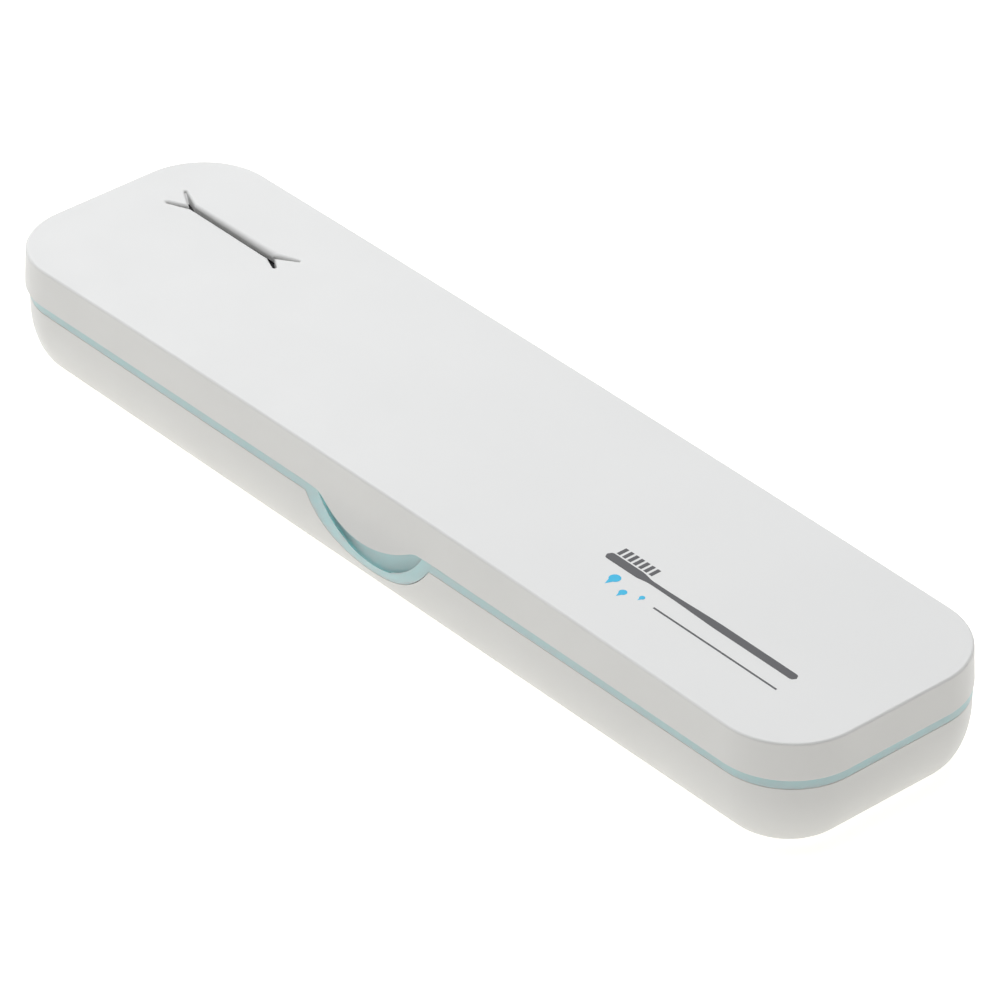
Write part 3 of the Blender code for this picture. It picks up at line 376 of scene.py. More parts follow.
def around_scoop(name, radius, back, edge=0):
    """A cylinder along Y round the scoop's axis, from in front of the case to a depth."""
    ends = (SCOOP_X, SCOOP_FRONT, SCOOP_CENTRE), (SCOOP_X, back, SCOOP_CENTRE)
    return rod(name, radius, *ends, segments=240, edge=edge)


def hinge_spans(start, end):
    """The stretches along X on both sides of each hinge's middle."""
    for centre in HINGE_CENTRES:
        yield centre - end, centre - start
        yield centre + start, centre + end


# ---------------------------------------------------------------- materials


class Nodes:
    """A short way to write a material's node tree."""

    def __init__(self, name):
        self.material = bpy.data.materials.new(name)
        self.material.use_nodes = True
        self.tree = self.material.node_tree
        self.shader = self.tree.nodes["Principled BSDF"]
        self.place = self.add("ShaderNodeTexCoord").outputs["Object"]

    def add(self, kind, **values):
        node = self.tree.nodes.new(kind)
        for key, value in values.items():
            setattr(node, key, value)
        return node

    def link(self, source, target):
        self.tree.links.new(source, target)

    def noise(self, scale, detail=2.0, roughness=0.5, stretch=None):
        node = self.add("ShaderNodeTexNoise")
        node.inputs["Scale"].default_value = scale
        node.inputs["Detail"].default_value = detail
        node.inputs["Roughness"].default_value = roughness
        if stretch:
            scaled = self.add("ShaderNodeMapping")
            scaled.inputs["Scale"].default_value = stretch
            self.link(self.place, scaled.inputs["Vector"])
            self.link(scaled.outputs["Vector"], node.inputs["Vector"])
        else:
            self.link(self.place, node.inputs["Vector"])
        return node.outputs["Fac"]

    def spread(self, value, low, high):
        """Noise, which keeps near its middle, spread over a range."""
        node = self.add("ShaderNodeMapRange")
        self.link(value, node.inputs["Value"])
        node.inputs["From Min"].default_value = 0.35
        node.inputs["From Max"].default_value = 0.65
        node.inputs["To Min"].default_value = low
        node.inputs["To Max"].default_value = high
        return node.outputs["Result"]

    def mix(self, share, first, second):
        """Two colours mixed by a share from 0 to 1."""
        node = self.add("ShaderNodeMix", data_type="RGBA")
        self.link(share, node.inputs["Factor"])
        for socket, colour in ((node.inputs[6], first), (node.inputs[7], second)):
            socket.default_value = (*colour, 1.0)
        return node.outputs[2]

    def colour(self, source):
        self.link(source, self.shader.inputs["Base Color"])

    def roughness(self, source):
        self.link(source, self.shader.inputs["Roughness"])

    def bump(self, height, distance):
        node = self.add("ShaderNodeBump")
        node.inputs["Distance"].default_value = distance
        node.inputs["Strength"].default_value = 1.0
        self.link(height, node.inputs["Height"])
        self.link(node.outputs["Normal"], self.shader.inputs["Normal"])

    def set(self, **values):
        for key, value in values.items():
            self.shader.inputs[key.replace("_", " ")].default_value = value


def moulded(name, colour, roughness, grain=0.004, variation=0.02, depth=0):
    """Moulded plastic: faint flow clouding, handling marks in the gloss, a fine spark-eroded grain, and
    light that goes in to a depth."""
    nodes = Nodes(name)
    darker = [channel * (1 - variation) for channel in colour]
    clouds = nodes.spread(nodes.noise(22, 3), 0, 1)
    nodes.colour(nodes.mix(clouds, colour, darker))
    marks = nodes.noise(90, 5, 0.6)
    nodes.roughness(nodes.spread(marks, roughness - 0.05, roughness + 0.06))
    nodes.bump(nodes.noise(5200, 1), grain * MM)
    nodes.set(IOR=1.5, Specular_IOR_Level=0.35)
    if depth:
        nodes.set(Subsurface_Weight=0.75, Subsurface_Radius=(0.35, 1.0, 1.0), Subsurface_Scale=depth)
    return nodes.material


def metal(name, colour, roughness, scratches=(1, 1, 1)):
    """Metal with fine scratches, drawn out along the axis with the smallest number."""
    nodes = Nodes(name)
    lines = nodes.noise(900, 4, 0.6, stretch=scratches)
    nodes.colour(nodes.mix(nodes.spread(lines, 0, 1), colour, [channel * 0.88 for channel in colour]))
    nodes.roughness(nodes.spread(lines, roughness - 0.07, roughness + 0.1))
    nodes.bump(lines, 0.004 * MM)
    nodes.set(Metallic=1.0)
    return nodes.material


WHITE = (0.66, 0.66, 0.65)
BLUE = (0.43, 0.61, 0.63)
LOOKS = {
    "white_plastic": moulded("white_plastic", WHITE, 0.42),
    "blue_plastic": moulded("blue_plastic", BLUE, 0.4, depth=3.5 * MM),
    "white_insert": moulded("white_insert", (0.74, 0.75, 0.76), 0.5, grain=0.008),
    "rubber": moulded("rubber", (0.035, 0.035, 0.038), 0.75, grain=0.02, variation=0.2),
    "steel": metal("steel", (0.56, 0.57, 0.58), 0.3),
    "magnet": metal("magnet", (0.66, 0.66, 0.68), 0.18),
    "aluminium": metal("aluminium", (0.86, 0.87, 0.88), 0.16, scratches=(0.05, 1, 1)),
    "ceramic": moulded("ceramic", (0.78, 0.76, 0.7), 0.55, grain=0.01),
    # The window under the slit: smoked plastic made near black, partly its own tint and partly painted shade for
    # the dark inside of the slit.
    "smoke_window": moulded("smoke_window", (0.012, 0.012, 0.014), 0.12, grain=0.0005),
    "circuit_green": moulded("circuit_green", (0.015, 0.16, 0.06), 0.35),
    "component_black": moulded("component_black", (0.018, 0.018, 0.02), 0.45),
    "winding_tape": moulded("winding_tape", (0.62, 0.42, 0.05), 0.4),
    "battery_jacket": moulded("battery_jacket", (0.05, 0.14, 0.38), 0.25),
    "light_pipe": moulded("light_pipe", (0.7, 0.82, 0.76), 0.1),
    "lamp_glass": moulded("lamp_glass", (0.85, 0.9, 0.95), 0.05, grain=0.0005),
    "ink_grey": moulded("ink_grey", (0.085, 0.085, 0.09), 0.5, grain=0.002),
    "ink_blue": moulded("ink_blue", (0.03, 0.42, 0.66), 0.5, grain=0.002),
    "wire_red": moulded("wire_red", (0.5, 0.02, 0.02), 0.45),
    "wire_black": moulded("wire_black", (0.02, 0.02, 0.02), 0.45),
}


# ---------------------------------------------------------------- lid

# The slit over the lamp, a line with a short fork at each end. Radii and lips are for its two ends.
SLIT_LEFT = Vector((-95.0, 9.15)) * MM
SLIT_RIGHT = Vector((-71.6, 9.15)) * MM
SLIT_RADII = (0.6 * MM, 0.62 * MM)
SLIT_LIPS = (0.8 * MM, 1.2 * MM)
# Each arm: its root; in millimetres its reach, its radii and its lips at the root and the tip; and the
# share of its length that its bottom runs
SLIT_ARMS = (
    (SLIT_LEFT, (-5.2, 2.5), (0.57, 0.2), (0.75, 0.5), 0.3),
    (SLIT_LEFT + Vector((0.9, -0.05)) * MM, (-5.4, -2.45), (0.43, 0.22), (0.64, 0.7), 0.3),
    (SLIT_RIGHT, (3.9, -2.1), (0.66, 0.4), (0.8, 0.3), 1.0),
    (SLIT_RIGHT, (5.4, 2.8), (0.54, 0.16), (1.0, 0.5), 0.2),
)
# The points along the lid's front, close together at the tongue
TONGUE_MARKS = [x * 0.5 * MM for x in range(-42, 43)]
SIDE_MARKS = [x * 10 * MM for x in range(-9, -2)]
FRONT_MARKS = [*SIDE_MARKS, *TONGUE_MARKS, *(-x for x in reversed(SIDE_MARKS))]


def smooth_min(a, b, reach):
    """The lower of two levels, rounded where they cross."""
    overlap = max(reach - abs(a - b), 0) / reach
    return min(a, b) - overlap**2 * reach / 4


def lid_rim(x):
    """The level of the rim along the front, which dips into the tongue in the middle."""
    radius, centre = curved_bottom(TONGUE_HALF, TONGUE_LOW, LID_RIM)
    if abs(x) >= radius:
        return LID_RIM
    return smooth_min(LID_RIM, centre - math.sqrt(radius**2 - x**2), TONGUE_BLEND)


def flare(x, z):
    """How far the tongue stands out of the lid's front wall at a point."""
    if z >= FLARE_START:
        return 0
    down = (FLARE_START - z) / (FLARE_START - TONGUE_LOW)
    out = min(max((FLARE_END - abs(x)) / (FLARE_END - FLARE_FULL), 0), 1)
    return TONGUE_FLARE * down**2 * out**2 * (3 - 2 * out)


def lid_section(inset, level):
    """A ring of the lid. The level is a height, or a share of the way down from where the flare starts
    to the rim together with a height above that."""
    ring = []
    for x, y in case_outline(inset, FRONT_MARKS):
        front = y < -HALF_WIDTH / 2 and abs(x) < FLARE_END + MM
        along = x - TONGUE_X
        if isinstance(level, tuple):
            share, above = level
            z = FLARE_START + ((lid_rim(along) if front else LID_RIM) - FLARE_START) * share + above
        else:
            z = level
        out = Vector((0, -flare(along, z))) if front else spread(x, y)
        ring.append((x + out.x + LID_SIT.x, y + out.y + LID_SIT.y, z))
    return ring


def spread(x, y):
    """How far and which way the lid's outline stands out from the plain rounded rectangle."""
    reach_x, reach_y = HALF_LENGTH - CORNER_RADIUS, HALF_WIDTH - CORNER_RADIUS
    normal = Vector((x - min(max(x, -reach_x), reach_x), y - min(max(y, -reach_y), reach_y))).normalized()
    return normal * LID_SPREAD * (x / HALF_LENGTH) ** 2 * min(1, 1 - normal.y)


def lean(z):
    """How far the lid's wall leans in at a level."""
    return LID_DRAFT * min(max((z - LID_RIM) / (TOP - LID_RIM), 0), 1)


def crowned(obj):
    """Bows a shape with the lid's top: bands across it, each vertex lifted by its share of the crown."""
    bm = bmesh.new()
    bm.from_mesh(obj.data)
    bands = int(HALF_LENGTH / CROWN_BAND)
    for i in range(-bands, bands + 1):
        geometry = bm.verts[:] + bm.edges[:] + bm.faces[:]
        bmesh.ops.bisect_plane(bm, geom=geometry, plane_co=(i * CROWN_BAND, 0, 0), plane_no=(1, 0, 0))
    for vert in bm.verts:
        share = min(max((vert.co.z - LID_RIM) / (TOP - LID_RIM), 0), 1)
        vert.co.z += share * (CROWN_MIDDLE - CROWN_FALL * (vert.co.x / HALF_LENGTH) ** 2)
    bm.to_mesh(obj.data)
    bm.free()
    return obj


def lipped_slot(name, start, end, radii, lips, bottom_reach=1):
    """A cutter for a slot through the lid's top, tapering from start to end, with a soft lip all round. The
    end runs up out of the depth if its bottom reaches only part of the way."""
    heading = math.degrees(math.atan2(end.y - start.y, end.x - start.x))

    def ring(far, wider, drop, extra=0):
        points = []
        last, first = (far, heading, radii[1], lips[1]), (start, heading + 180, radii[0], lips[0])
        for centre, turn, radius, lip in (last, first):
            outline = arc(radius + lip * wider + extra, turn - 90, turn + 90, 18, centre)
            points += [(x, y, drop(lip)) for x, y in outline]
        return points

    bottom = start + (end - start) * bottom_reach
    sections = [ring(bottom, 0, lambda lip: LID_CEILING - MM)]
    for turn in (math.radians(angle) for angle in range(0, 91, 9)):
        sections.append(ring(end, 1 - math.cos(turn), lambda lip: TOP - lip * (1 - math.sin(turn))))
    sections.append(ring(end, 1, lambda lip: TOP + 0.3 * MM, 0.02 * MM))
    return loft(name, sections)


def slit_cutters():
    """The slit and its arms. No two start at the same place with the same radius, so no walls coincide."""
    made = [lipped_slot("slit", SLIT_LEFT, SLIT_RIGHT, SLIT_RADII, SLIT_LIPS)]
    for root, reach, radii, lips, bottom_reach in SLIT_ARMS:
        tip = root + Vector(reach) * MM
        radii, lips = Vector(radii) * MM, Vector(lips) * MM
        made.append(lipped_slot("slit_arm", root, tip, radii, lips, bottom_reach))
    return made


def lid_knuckle(centre):
    """The lid's knuckle between the base's two, with an arm up to the lid."""
    y, z, r = HINGE_Y, HINGE_Z, KNUCKLE_RADIUS
    top = z + 3.0 * MM
    outline = [*arc(r, 180, 360, 24, (y, z))[1:], (y + r, z + 0.6 * MM), (y - 0.3 * MM, top)]
    outline += [(y - 1.6 * MM, top), (y - r + 0.2 * MM, z)]
    ends = centre - LID_KNUCKLE_HALF, centre + LID_KNUCKLE_HALF
    return prism("lid_knuckle", outline, *ends, plane="YZ", edge=0.2 * MM)


def magnet_boss(node):
    """A boss round a magnet of the frame, and the seat in it."""
    low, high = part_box(node)
    middle = (low + high) / 2
    radius = (high.x - low.x) / 2
    mouth = low.z - 0.1 * MM
    boss_ends = (middle.x, middle.y, mouth), (middle.x, middle.y, LID_CEILING + 0.4 * MM)
    boss = rod("boss", radius + MM, *boss_ends, edge=0.25 * MM)
    seat_ends = (middle.x, middle.y, mouth - MM), (middle.x, middle.y, mouth + 2.2 * MM)
    return boss, rod("seat", radius + SEAT_PLAY, *seat_ends)


def build_lid():
    edge, small = LID_EDGE_RADIUS, 0.14 * MM
    rings = [*rounded_top(lean(TOP - edge), TOP, edge, 6), (lean(FLARE_START), FLARE_START)]
    rings += [(lean(FLARE_START) * (1 - i / 12), (i / 12, small * i / 12)) for i in range(1, 13)]
    rings += [(small - x, (1, small - y)) for x, y in arc(small, 15, 90, 3)]
    rings += [(WALL - small + x, (1, small - y)) for x, y in arc(small, 90, 0, 4)]
    rings += [(WALL + lean(FLARE_START) * (1 - i / 12), (i / 12, small * i / 12)) for i in range(11, 0, -1)]
    corner = WALL + LID_DRAFT
    rings += [(WALL + lean(FLARE_START), FLARE_START)]
    rings += [(corner + MM - x, LID_CEILING - MM + y) for x, y in arc(MM, 0, 90, 5)]
    lid = loft("lid", [lid_section(inset, level) for inset, level in rings])
    steps = [("join", lid_knuckle(centre)) for centre in HINGE_CENTRES]
    for low_x, high_x in hinge_spans(BASE_KNUCKLE_START - HINGE_PLAY, HINGE_HALF + HINGE_END_PLAY):
        steps.append(("cut", along_hinge("room", KNUCKLE_ROOM, low_x, high_x)))
    steps.append(("cut", along_hinge("bore", PIN_HOLE, -PIN_REACH, PIN_REACH)))
    for node in ("catch_magnet_left", "catch_magnet_right", "sensor_magnet"):
        boss, seat = magnet_boss(node)
        steps += [("join", boss), ("cut", seat)]
    steps += [("cut", slot) for slot in slit_cutters()]
    crowned(carve(lid, *steps))
    finished(lid, LOOKS["white_plastic"], "lid", "white_plastic", "lid_shell")


# ---------------------------------------------------------------- the mark printed on the lid

PRINT_LOW, PRINT_HIGH = TOP - 0.03 * MM, TOP + 0.03 * MM
PRINT_START, PRINT_END = 44 * MM, 93 * MM
PRINT_Y = -8.6 * MM
HANDLE_HALF = 1.0 * MM
BRISTLES = 7
BRISTLE_GAP = 0.35 * MM  # between the head and the bristles
BRISTLE_LENGTH = 2.3 * MM
LINE_START = 61.5 * MM
LINE_Y = -13.6 * MM, -13.2 * MM
DROPS = ((50.5, -12.6, 1.15), (54.6, -14.4, 0.8), (58.0, -12.9, 0.55))  # x, y and radius in millimetres


def rectangle(low_x, high_x, low_y, high_y):
    return [(low_x, low_y), (high_x, low_y), (high_x, high_y), (low_x, high_y)]


def printed(name, outline):
    """An outline as a thin layer of ink on the lid's top."""
    return prism(name, outline, PRINT_LOW, PRINT_HIGH)


def eased(share, start, end):
    """Rises smoothly from 0 to 1 while the share goes from start to end."""
    t = min(max((share - start) / (end - start), 0), 1)
    return t * t * (3 - 2 * t)


def brush_outline(steps=120):
    """A toothbrush from above: a long head, a thin neck and a handle that swells."""
    half = []
    for i in range(steps + 1):
        share = i / steps
        neck = eased(share, 0.17, 0.24) * (1 - 0.8 * eased(share, 0.3, 0.62)) * 0.5
        rounding = min(share, 1 - share) / 0.02
        end = math.sqrt(1 - (1 - rounding) ** 2) if rounding < 1 else 1
        x = PRINT_START + (PRINT_END - PRINT_START) * share
        half.append((x, max(HANDLE_HALF * (1 - neck) * end, 0.02 * MM)))
    return [(x, PRINT_Y + y) for x, y in half] + [(x, PRINT_Y - y) for x, y in reversed(half)]


def drop_outline(x, y, radius, steps=24):
    """A water drop with its point away from the hinge."""
    round_part = arc(radius, -60, 240, steps, (x, y))
    return [*round_part, (x, y - radius * 2.1)]


def build_print():
    marks = [printed("brush", brush_outline())]
    pitch = (PRINT_END - PRINT_START) * 0.2 / BRISTLES
    for i in range(BRISTLES):
        x = PRINT_START + 1.0 * MM + pitch * i
        low = PRINT_Y + HANDLE_HALF + BRISTLE_GAP
        marks.append(printed("bristle", rectangle(x, x + pitch * 0.6, low, low + BRISTLE_LENGTH)))
    marks.append(printed("line", rectangle(LINE_START, PRINT_END, *LINE_Y)))
    dark = crowned(merged("lid_print", *marks))
    finished(dark, LOOKS["ink_grey"], "lid", "component_black")
    drops = [printed("drop", drop_outline(*(Vector(each) * MM))) for each in DROPS]
    blue = crowned(merged("lid_print_drops", *drops))
    finished(blue, LOOKS["ink_blue"], "lid", "blue_plastic")


# ---------------------------------------------------------------- blue tray


def scoop_section(y, half_width, bottom, steps=72):
    """One upright slice of the thumb scoop: an arc through its two top corners and its lowest point."""
    radius, centre = curved_bottom(half_width, bottom, BAND_TOP)
    reach = math.degrees(math.atan2(half_width, centre - BAND_TOP))
    bowl = arc(radius, -90 - reach, -90 + reach, steps, (0, centre))
    corners = [(half_width, SCOOP_MOUTH_TOP), (-half_width, SCOOP_MOUTH_TOP)]
    return [(HOLLOW_X + x, y, z) for x, z in [*bowl, *corners]]


def scoop_cutter():
    """The hollow for the fingertip: through the lip, a dip behind it, then up to the back wall."""
    slices = smooth_route([Vector(each) * MM for each in HOLLOW_SLICES], 6)
    return loft("scoop", [scoop_section(*each) for each in slices])


def scoop_body(name):
    """The part of the tray that fills the notch in the base."""
    return around_scoop(name, SCOOP_RADIUS - SCOOP_SEAM, SCOOP_BACK, edge=1.0 * MM)


def brush_rest(x):
    """A rib across the tray with a notch for each brush handle."""
    low = (x - RIB_HALF, -24.2 * MM, 3.4 * MM)
    rest = rounded_block("rest", low, (x + RIB_HALF, DIVIDER_FRONT + 0.5 * MM, BRUSH_REST_TOP), 0.35 * MM)
    steps = []
    for y in BRUSH_PLACES:
        ends = (x - 2 * MM, y, BRUSH_NOTCH_LEVEL), (x + 2 * MM, y, BRUSH_NOTCH_LEVEL)
        steps.append(("cut", rod("notch", BRUSH_NOTCH, *ends)))
    depth = TRAY_DEPTH + 0.4 * MM
    steps.append(("keep", case_loft("space", [(depth, ABOVE_RIM), *hull_curve(depth)])))
    return carve(rest, *steps)


def screw_place(node):
    """The middle of a screw of the frame, seen from above."""
    low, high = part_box(node)
    return (low.x + high.x) / 2, (low.y + high.y) / 2


CASE_SCREWS = (
    "case_screw_front_left",
    "case_screw_front_right",
    "case_screw_back_left",
    "case_screw_back_right",
)
COVER_SCREWS = ("cover_screw_left", "cover_screw_right")
SCREW_HOLE = 1.2 * MM
CASE_BOSS = 2.4 * MM  # radius
CASE_BOSS_TOP = 11.0 * MM
COVER_BOSS = 2.2 * MM  # radius
COVER_BOSS_FOOT = 9.0 * MM


def tray_bosses():
    """The posts that the screws go into, with the webs that hold them."""
    steps = []
    low = TRAY_FLOOR - MM
    for node in CASE_SCREWS:
        x, y = screw_place(node)
        steps.append(("join", rod("boss", CASE_BOSS, (x, y, low), (x, y, CASE_BOSS_TOP), edge=0.3 * MM)))
        if node == "case_screw_back_left":
            arm = (x - RIB_HALF, DIVIDER_FRONT + 0.4 * MM, low), (x + RIB_HALF, y, 6.5 * MM)
            steps.append(("join", rounded_block("arm", *arm)))
        steps.append(("cut", rod("hole", SCREW_HOLE, (x, y, 0), (x, y, 9.4 * MM))))
    for node in COVER_SCREWS:
        x, y = screw_place(node)
        near, far = sorted((4.9 * MM if node.endswith("right") else BACK_WALL, y))
        web = (x - RIB_HALF, near, COVER_BOSS_FOOT), (x + RIB_HALF, far, DIVIDER_TOP - 0.05 * MM)
        boss_ends = (x, y, COVER_BOSS_FOOT), (x, y, DIVIDER_TOP)
        steps.append(("join", rod("boss", COVER_BOSS, *boss_ends, edge=0.2 * MM)))
        steps.append(("join", block("web", *web)))
        steps.append(("cut", rod("hole", SCREW_HOLE, (x, y, 9.9 * MM), (x, y, 18 * MM))))
    return steps


def build_tray():
    below = block("below", (-0.2, -0.1, -5 * MM), (0.2, 0.1, BAND_LOW))
    basin = case_loft("basin", [(TRAY_DEPTH, ABOVE_RIM), *hull_curve(TRAY_DEPTH)])
    carve(below, ("cut", basin), ("cut", scoop_body("keep")))
    wall = (-0.2, DIVIDER_FRONT, -MM), (0.2, DIVIDER_BACK, DIVIDER_TOP)
    divider = rounded_block("divider", *wall, 0.35 * MM)
    lip = 0.5 * MM
    rounding = [(POCKET_DEPTH - lip + x, BAND_TOP - lip + y) for x, y in arc(lip, 90, 0, 5)]
    rings = [(POCKET_DEPTH - lip, ABOVE_RIM), *rounding, *hull_curve(POCKET_DEPTH)]
    hollow = case_loft("hollow", rings)
    carve(hollow, ("cut", scoop_body("keep")), ("cut", divider))
    tray = case_loft("tray", [*rounded_top(BODY_INSET, BAND_TOP, 0.15 * MM), *hull_curve(0)])
    steps = [("cut", below), ("cut", hollow), ("cut", scoop_cutter())]
    steps.append(("cut", block("floor", *BAY_OPENING)))
    steps += [("join", brush_rest(x)) for x in BRUSH_RESTS]
    steps += tray_bosses()
    for x in COVER_LEDGES:
        ledge = (x - 3 * MM, 22.6 * MM, 13.6 * MM), (x + 3 * MM, BACK_WALL, DIVIDER_TOP)
        steps.append(("join", rounded_block("ledge", *ledge, 0.2 * MM)))
    for node in ("catch_plate_left", "catch_plate_right"):
        x, y = screw_place(node)
        pad = (x - 3.4 * MM, -24.4 * MM, 14.2 * MM), (x + 3.4 * MM, y + 3.0 * MM, BAND_TOP - 0.2 * MM)
        seat = (x, y, BAND_TOP - 1.4 * MM), (x, y, BAND_TOP + MM)
        steps += [("join", rounded_block("pad", *pad, 0.4 * MM)), ("cut", rod("seat", 2.2 * MM, *seat))]
    steps.append(("cut", block("window", *LAMP_WINDOW)))
    for centre in HINGE_CENTRES:
        reach = HINGE_HALF + HINGE_END_PLAY
        low = (centre - reach, HINGE_Y - 2.6 * MM, 9.0 * MM)
        steps.append(("cut", block("room", low, (centre + reach, 0.05, 20 * MM))))
    carve(tray, *steps)
    finished(tray, LOOKS["blue_plastic"], "base", "blue_plastic", "inner_tray")


# ---------------------------------------------------------------- white base


def base_knuckle(low_x, high_x):
    """One of the base's knuckles, with a web down to its back wall."""
    y, z, r = HINGE_Y, HINGE_Z, KNUCKLE_RADIUS
    web = [(y - 1.2 * MM, z - 6.2 * MM), (y - 0.4 * MM, z - 6.2 * MM), (y + r, z - 3.4 * MM)]
    outline = [*arc(r, 0, 180, 24, (y, z)), (y - 1.2 * MM, z - 1.6 * MM), *web]
    return prism("base_knuckle", outline, low_x, high_x, plane="YZ", edge=0.2 * MM)


def stadium(x, half_length, radius, steps=16):
    """A slot's outline along Y with round ends."""
    return [*arc(radius, 0, 180, steps, (x, half_length)), *arc(radius, 180, 360, steps, (x, -half_length))]


def build_base():
    edge = 0.12 * MM
    floor = [(inset, z) for inset, z in reversed(hull_curve(WALL))]
    rim_inner = [(WALL - edge + x, BASE_RIM - edge + y) for x, y in arc(edge, 0, 90, 3)]
    rings = [*floor, *rim_inner, *rounded_top(BODY_INSET, BASE_RIM, edge, 3), *hull_curve(0)]
    base = case_loft("base", rings)
    steps = [("join", base_knuckle(*span)) for span in hinge_spans(BASE_KNUCKLE_START, HINGE_HALF)]
    for low, high in CELL_CRADLE:
        steps.append(("join", block("cradle", Vector(low) * MM, Vector(high) * MM)))
    for x in BOARD_POSTS:
        steps.append(("join", rod("post", 1.5 * MM, (x, 18 * MM, 1.9 * MM), (x, 18 * MM, 3.8 * MM))))
    door_low, door_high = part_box("battery_door")
    seat_low = (door_low.x - DOOR_PLAY, door_low.y - DOOR_PLAY, -MM)
    seat_high = (door_high.x + DOOR_PLAY, door_high.y + DOOR_PLAY, BOTTOM + 0.8 * MM)
    steps.append(("cut", block("opening", *CELL_OPENING)))
    steps.append(("cut", block("seat", seat_low, seat_high)))
    steps.append(("cut", around_scoop("notch", SCOOP_RADIUS, SCOOP_BACK - 0.2 * MM)))
    for centre in HINGE_CENTRES:
        reach = LID_KNUCKLE_HALF + HINGE_PLAY
        steps.append(("cut", along_hinge("room", KNUCKLE_ROOM, centre - reach, centre + reach)))
    steps.append(("cut", along_hinge("bore", PIN_HOLE, -PIN_REACH, PIN_REACH)))
    for node in CASE_SCREWS:
        x, y = screw_place(node)
        cone = (x, y, BOTTOM - 0.2 * MM), (x, y, BOTTOM + 1.5 * MM)
        steps.append(("cut", rod("sink", 2.5 * MM, *cone, end_radius=SCREW_HOLE)))
        steps.append(("cut", rod("hole", SCREW_HOLE, (x, y, -MM), (x, y, 4 * MM))))
    for node in ("foot_left", "foot_right"):
        low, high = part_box(node)
        radius = (high.x - low.x) / 2
        outline = stadium((low.x + high.x) / 2, high.y - radius, radius + SEAT_PLAY)
        steps.append(("cut", prism("foot_seat", outline, -MM, high.z + 0.1 * MM)))
    carve(base, *steps)
    finished(base, LOOKS["white_plastic"], "base", "white_plastic", "base_shell")


# ---------------------------------------------------------------- CAD pieces that stay

CAD_EDGE = 0.12 * MM  # how wide the rounding of their edges is
CAD_EDGE_ANGLE = math.radians(40)  # edges sharper than this are rounded


def dress_cad_nodes():
    """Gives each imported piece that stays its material, with a fine rounding of its edges."""
    slots = {each["node"]: each["material_slot"] for each in frame["record"]["subparts"]}
    replaced = {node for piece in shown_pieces() for node in piece.get("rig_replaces", [])}
    for node, obj in frame["nodes"].items():
        if node in replaced:
            continue
        obj.data.materials.clear()
        obj.data.materials.append(LOOKS[slots[node]])
        edge = obj.modifiers.new("edge", "BEVEL")
        edge.width = CAD_EDGE
        edge.segments = 2
        edge.limit_method = "ANGLE"
        edge.angle_limit = CAD_EDGE_ANGLE


# ---------------------------------------------------------------- studio and camera

FLOOR_GLOW = 0.8
SKY = 0.322
SKY_FALL = 0.9  # how much darker the room is towards the case's right end
LIGHTS = (  # name, place, size, power and colour
    ("overhead", (-0.3, 0.15, 1.4), 1.4, 20.4, (0.97, 0.98, 1.0)),
    ("far_end", (-1.2, 0.4, 0.9), 1.0, 5.0, (0.98, 0.985, 1.0)),
    ("battery_end", (1.1, -0.1, 0.12), 0.22, 0.5, (1.0, 0.99, 0.98)),
)


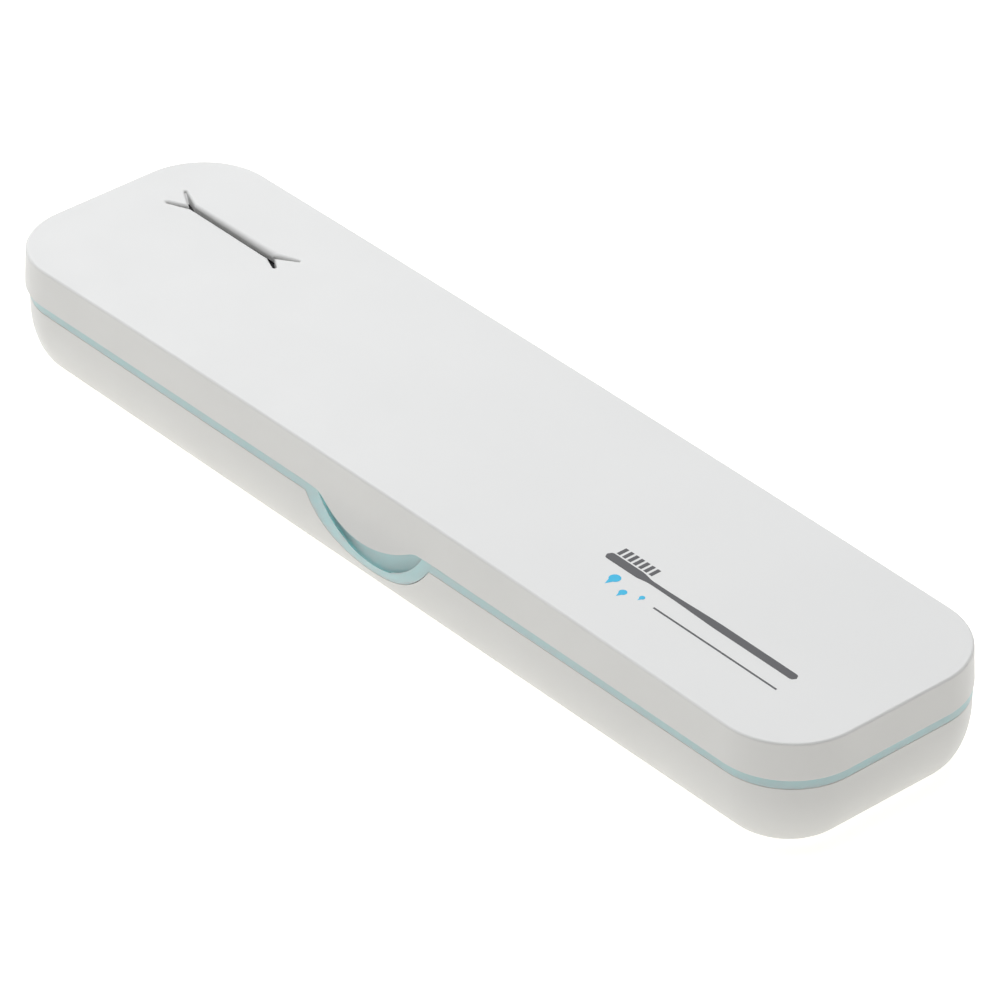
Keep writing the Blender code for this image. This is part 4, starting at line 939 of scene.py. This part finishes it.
def build_studio():
    bm = bmesh.new()
    bmesh.ops.create_grid(bm, x_segments=1, y_segments=1, size=4.0)
    floor = shape("floor", bm)
    paper = Nodes("paper")
    paper.colour(paper.mix(paper.spread(paper.noise(3, 2), 0, 1), (0.55, 0.55, 0.55), (0.545, 0.545, 0.545)))
    paper.set(Roughness=0.9, Emission_Color=(1.0, 0.98, 0.92, 1.0), Emission_Strength=FLOOR_GLOW)
    floor.data.materials.append(paper.material)
    floor.location.z = -0.05 * MM
    floor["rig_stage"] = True

    world = bpy.data.worlds.new("studio")
    world.use_nodes = True
    tree = world.node_tree
    background = tree.nodes["Background"]
    background.inputs["Color"].default_value = (1.0, 1.0, 1.0, 1.0)
    direction = tree.nodes.new("ShaderNodeTexCoord")
    parts = tree.nodes.new("ShaderNodeSeparateXYZ")
    strength = tree.nodes.new("ShaderNodeMapRange")
    strength.inputs["From Min"].default_value = -1
    strength.inputs["From Max"].default_value = 1
    strength.inputs["To Min"].default_value = SKY * (1 + SKY_FALL)
    strength.inputs["To Max"].default_value = SKY * (1 - SKY_FALL)
    tree.links.new(direction.outputs["Generated"], parts.inputs["Vector"])
    tree.links.new(parts.outputs["X"], strength.inputs["Value"])
    tree.links.new(strength.outputs["Result"], background.inputs["Strength"])
    bpy.context.scene.world = world

    for name, place, size, power, colour in LIGHTS:
        light = bpy.data.lights.new(name, "AREA")
        light.size = size
        light.energy = power
        light.color = colour
        lamp = bpy.data.objects.new(name, light)
        lamp.location = place
        lamp.rotation_euler = (-Vector(place)).to_track_quat("-Z", "Y").to_euler()
        bpy.context.scene.collection.objects.link(lamp)
    bpy.context.scene.view_settings.view_transform = "Standard"


CAMERA_AZIMUTH = math.radians(48.857)
CAMERA_ELEVATION = math.radians(34.829)
CAMERA_ROLL = math.radians(0.315)
CAMERA_DISTANCE = 1.2
CAMERA_LENS = 234.4
CAMERA_SHIFT = 0.0196, 0.0453


def build_camera():
    """The view from the front and right, over the battery end, with a long lens."""
    across, level = math.cos(CAMERA_AZIMUTH), math.cos(CAMERA_ELEVATION)
    back = Vector((math.sin(CAMERA_AZIMUTH) * level, -across * level, math.sin(CAMERA_ELEVATION)))
    right = Vector((across, math.sin(CAMERA_AZIMUTH), 0))
    up = back.cross(right)
    rolled_right = right * math.cos(CAMERA_ROLL) + up * math.sin(CAMERA_ROLL)
    rolled_up = back.cross(rolled_right)
    camera = bpy.data.cameras.new("camera")
    camera.sensor_width = 36
    camera.lens = CAMERA_LENS
    camera.shift_x, camera.shift_y = CAMERA_SHIFT
    camera.clip_start = 0.01
    view = bpy.data.objects.new("camera", camera)
    turn = Matrix((rolled_right, rolled_up, back)).transposed()
    view.matrix_world = Matrix.Translation(back * CAMERA_DISTANCE) @ turn.to_4x4()
    bpy.context.scene.collection.objects.link(view)
    bpy.context.scene.camera = view


build_camera()
build_studio()
build_lid()
build_print()
build_tray()
build_base()
dress_cad_nodes()
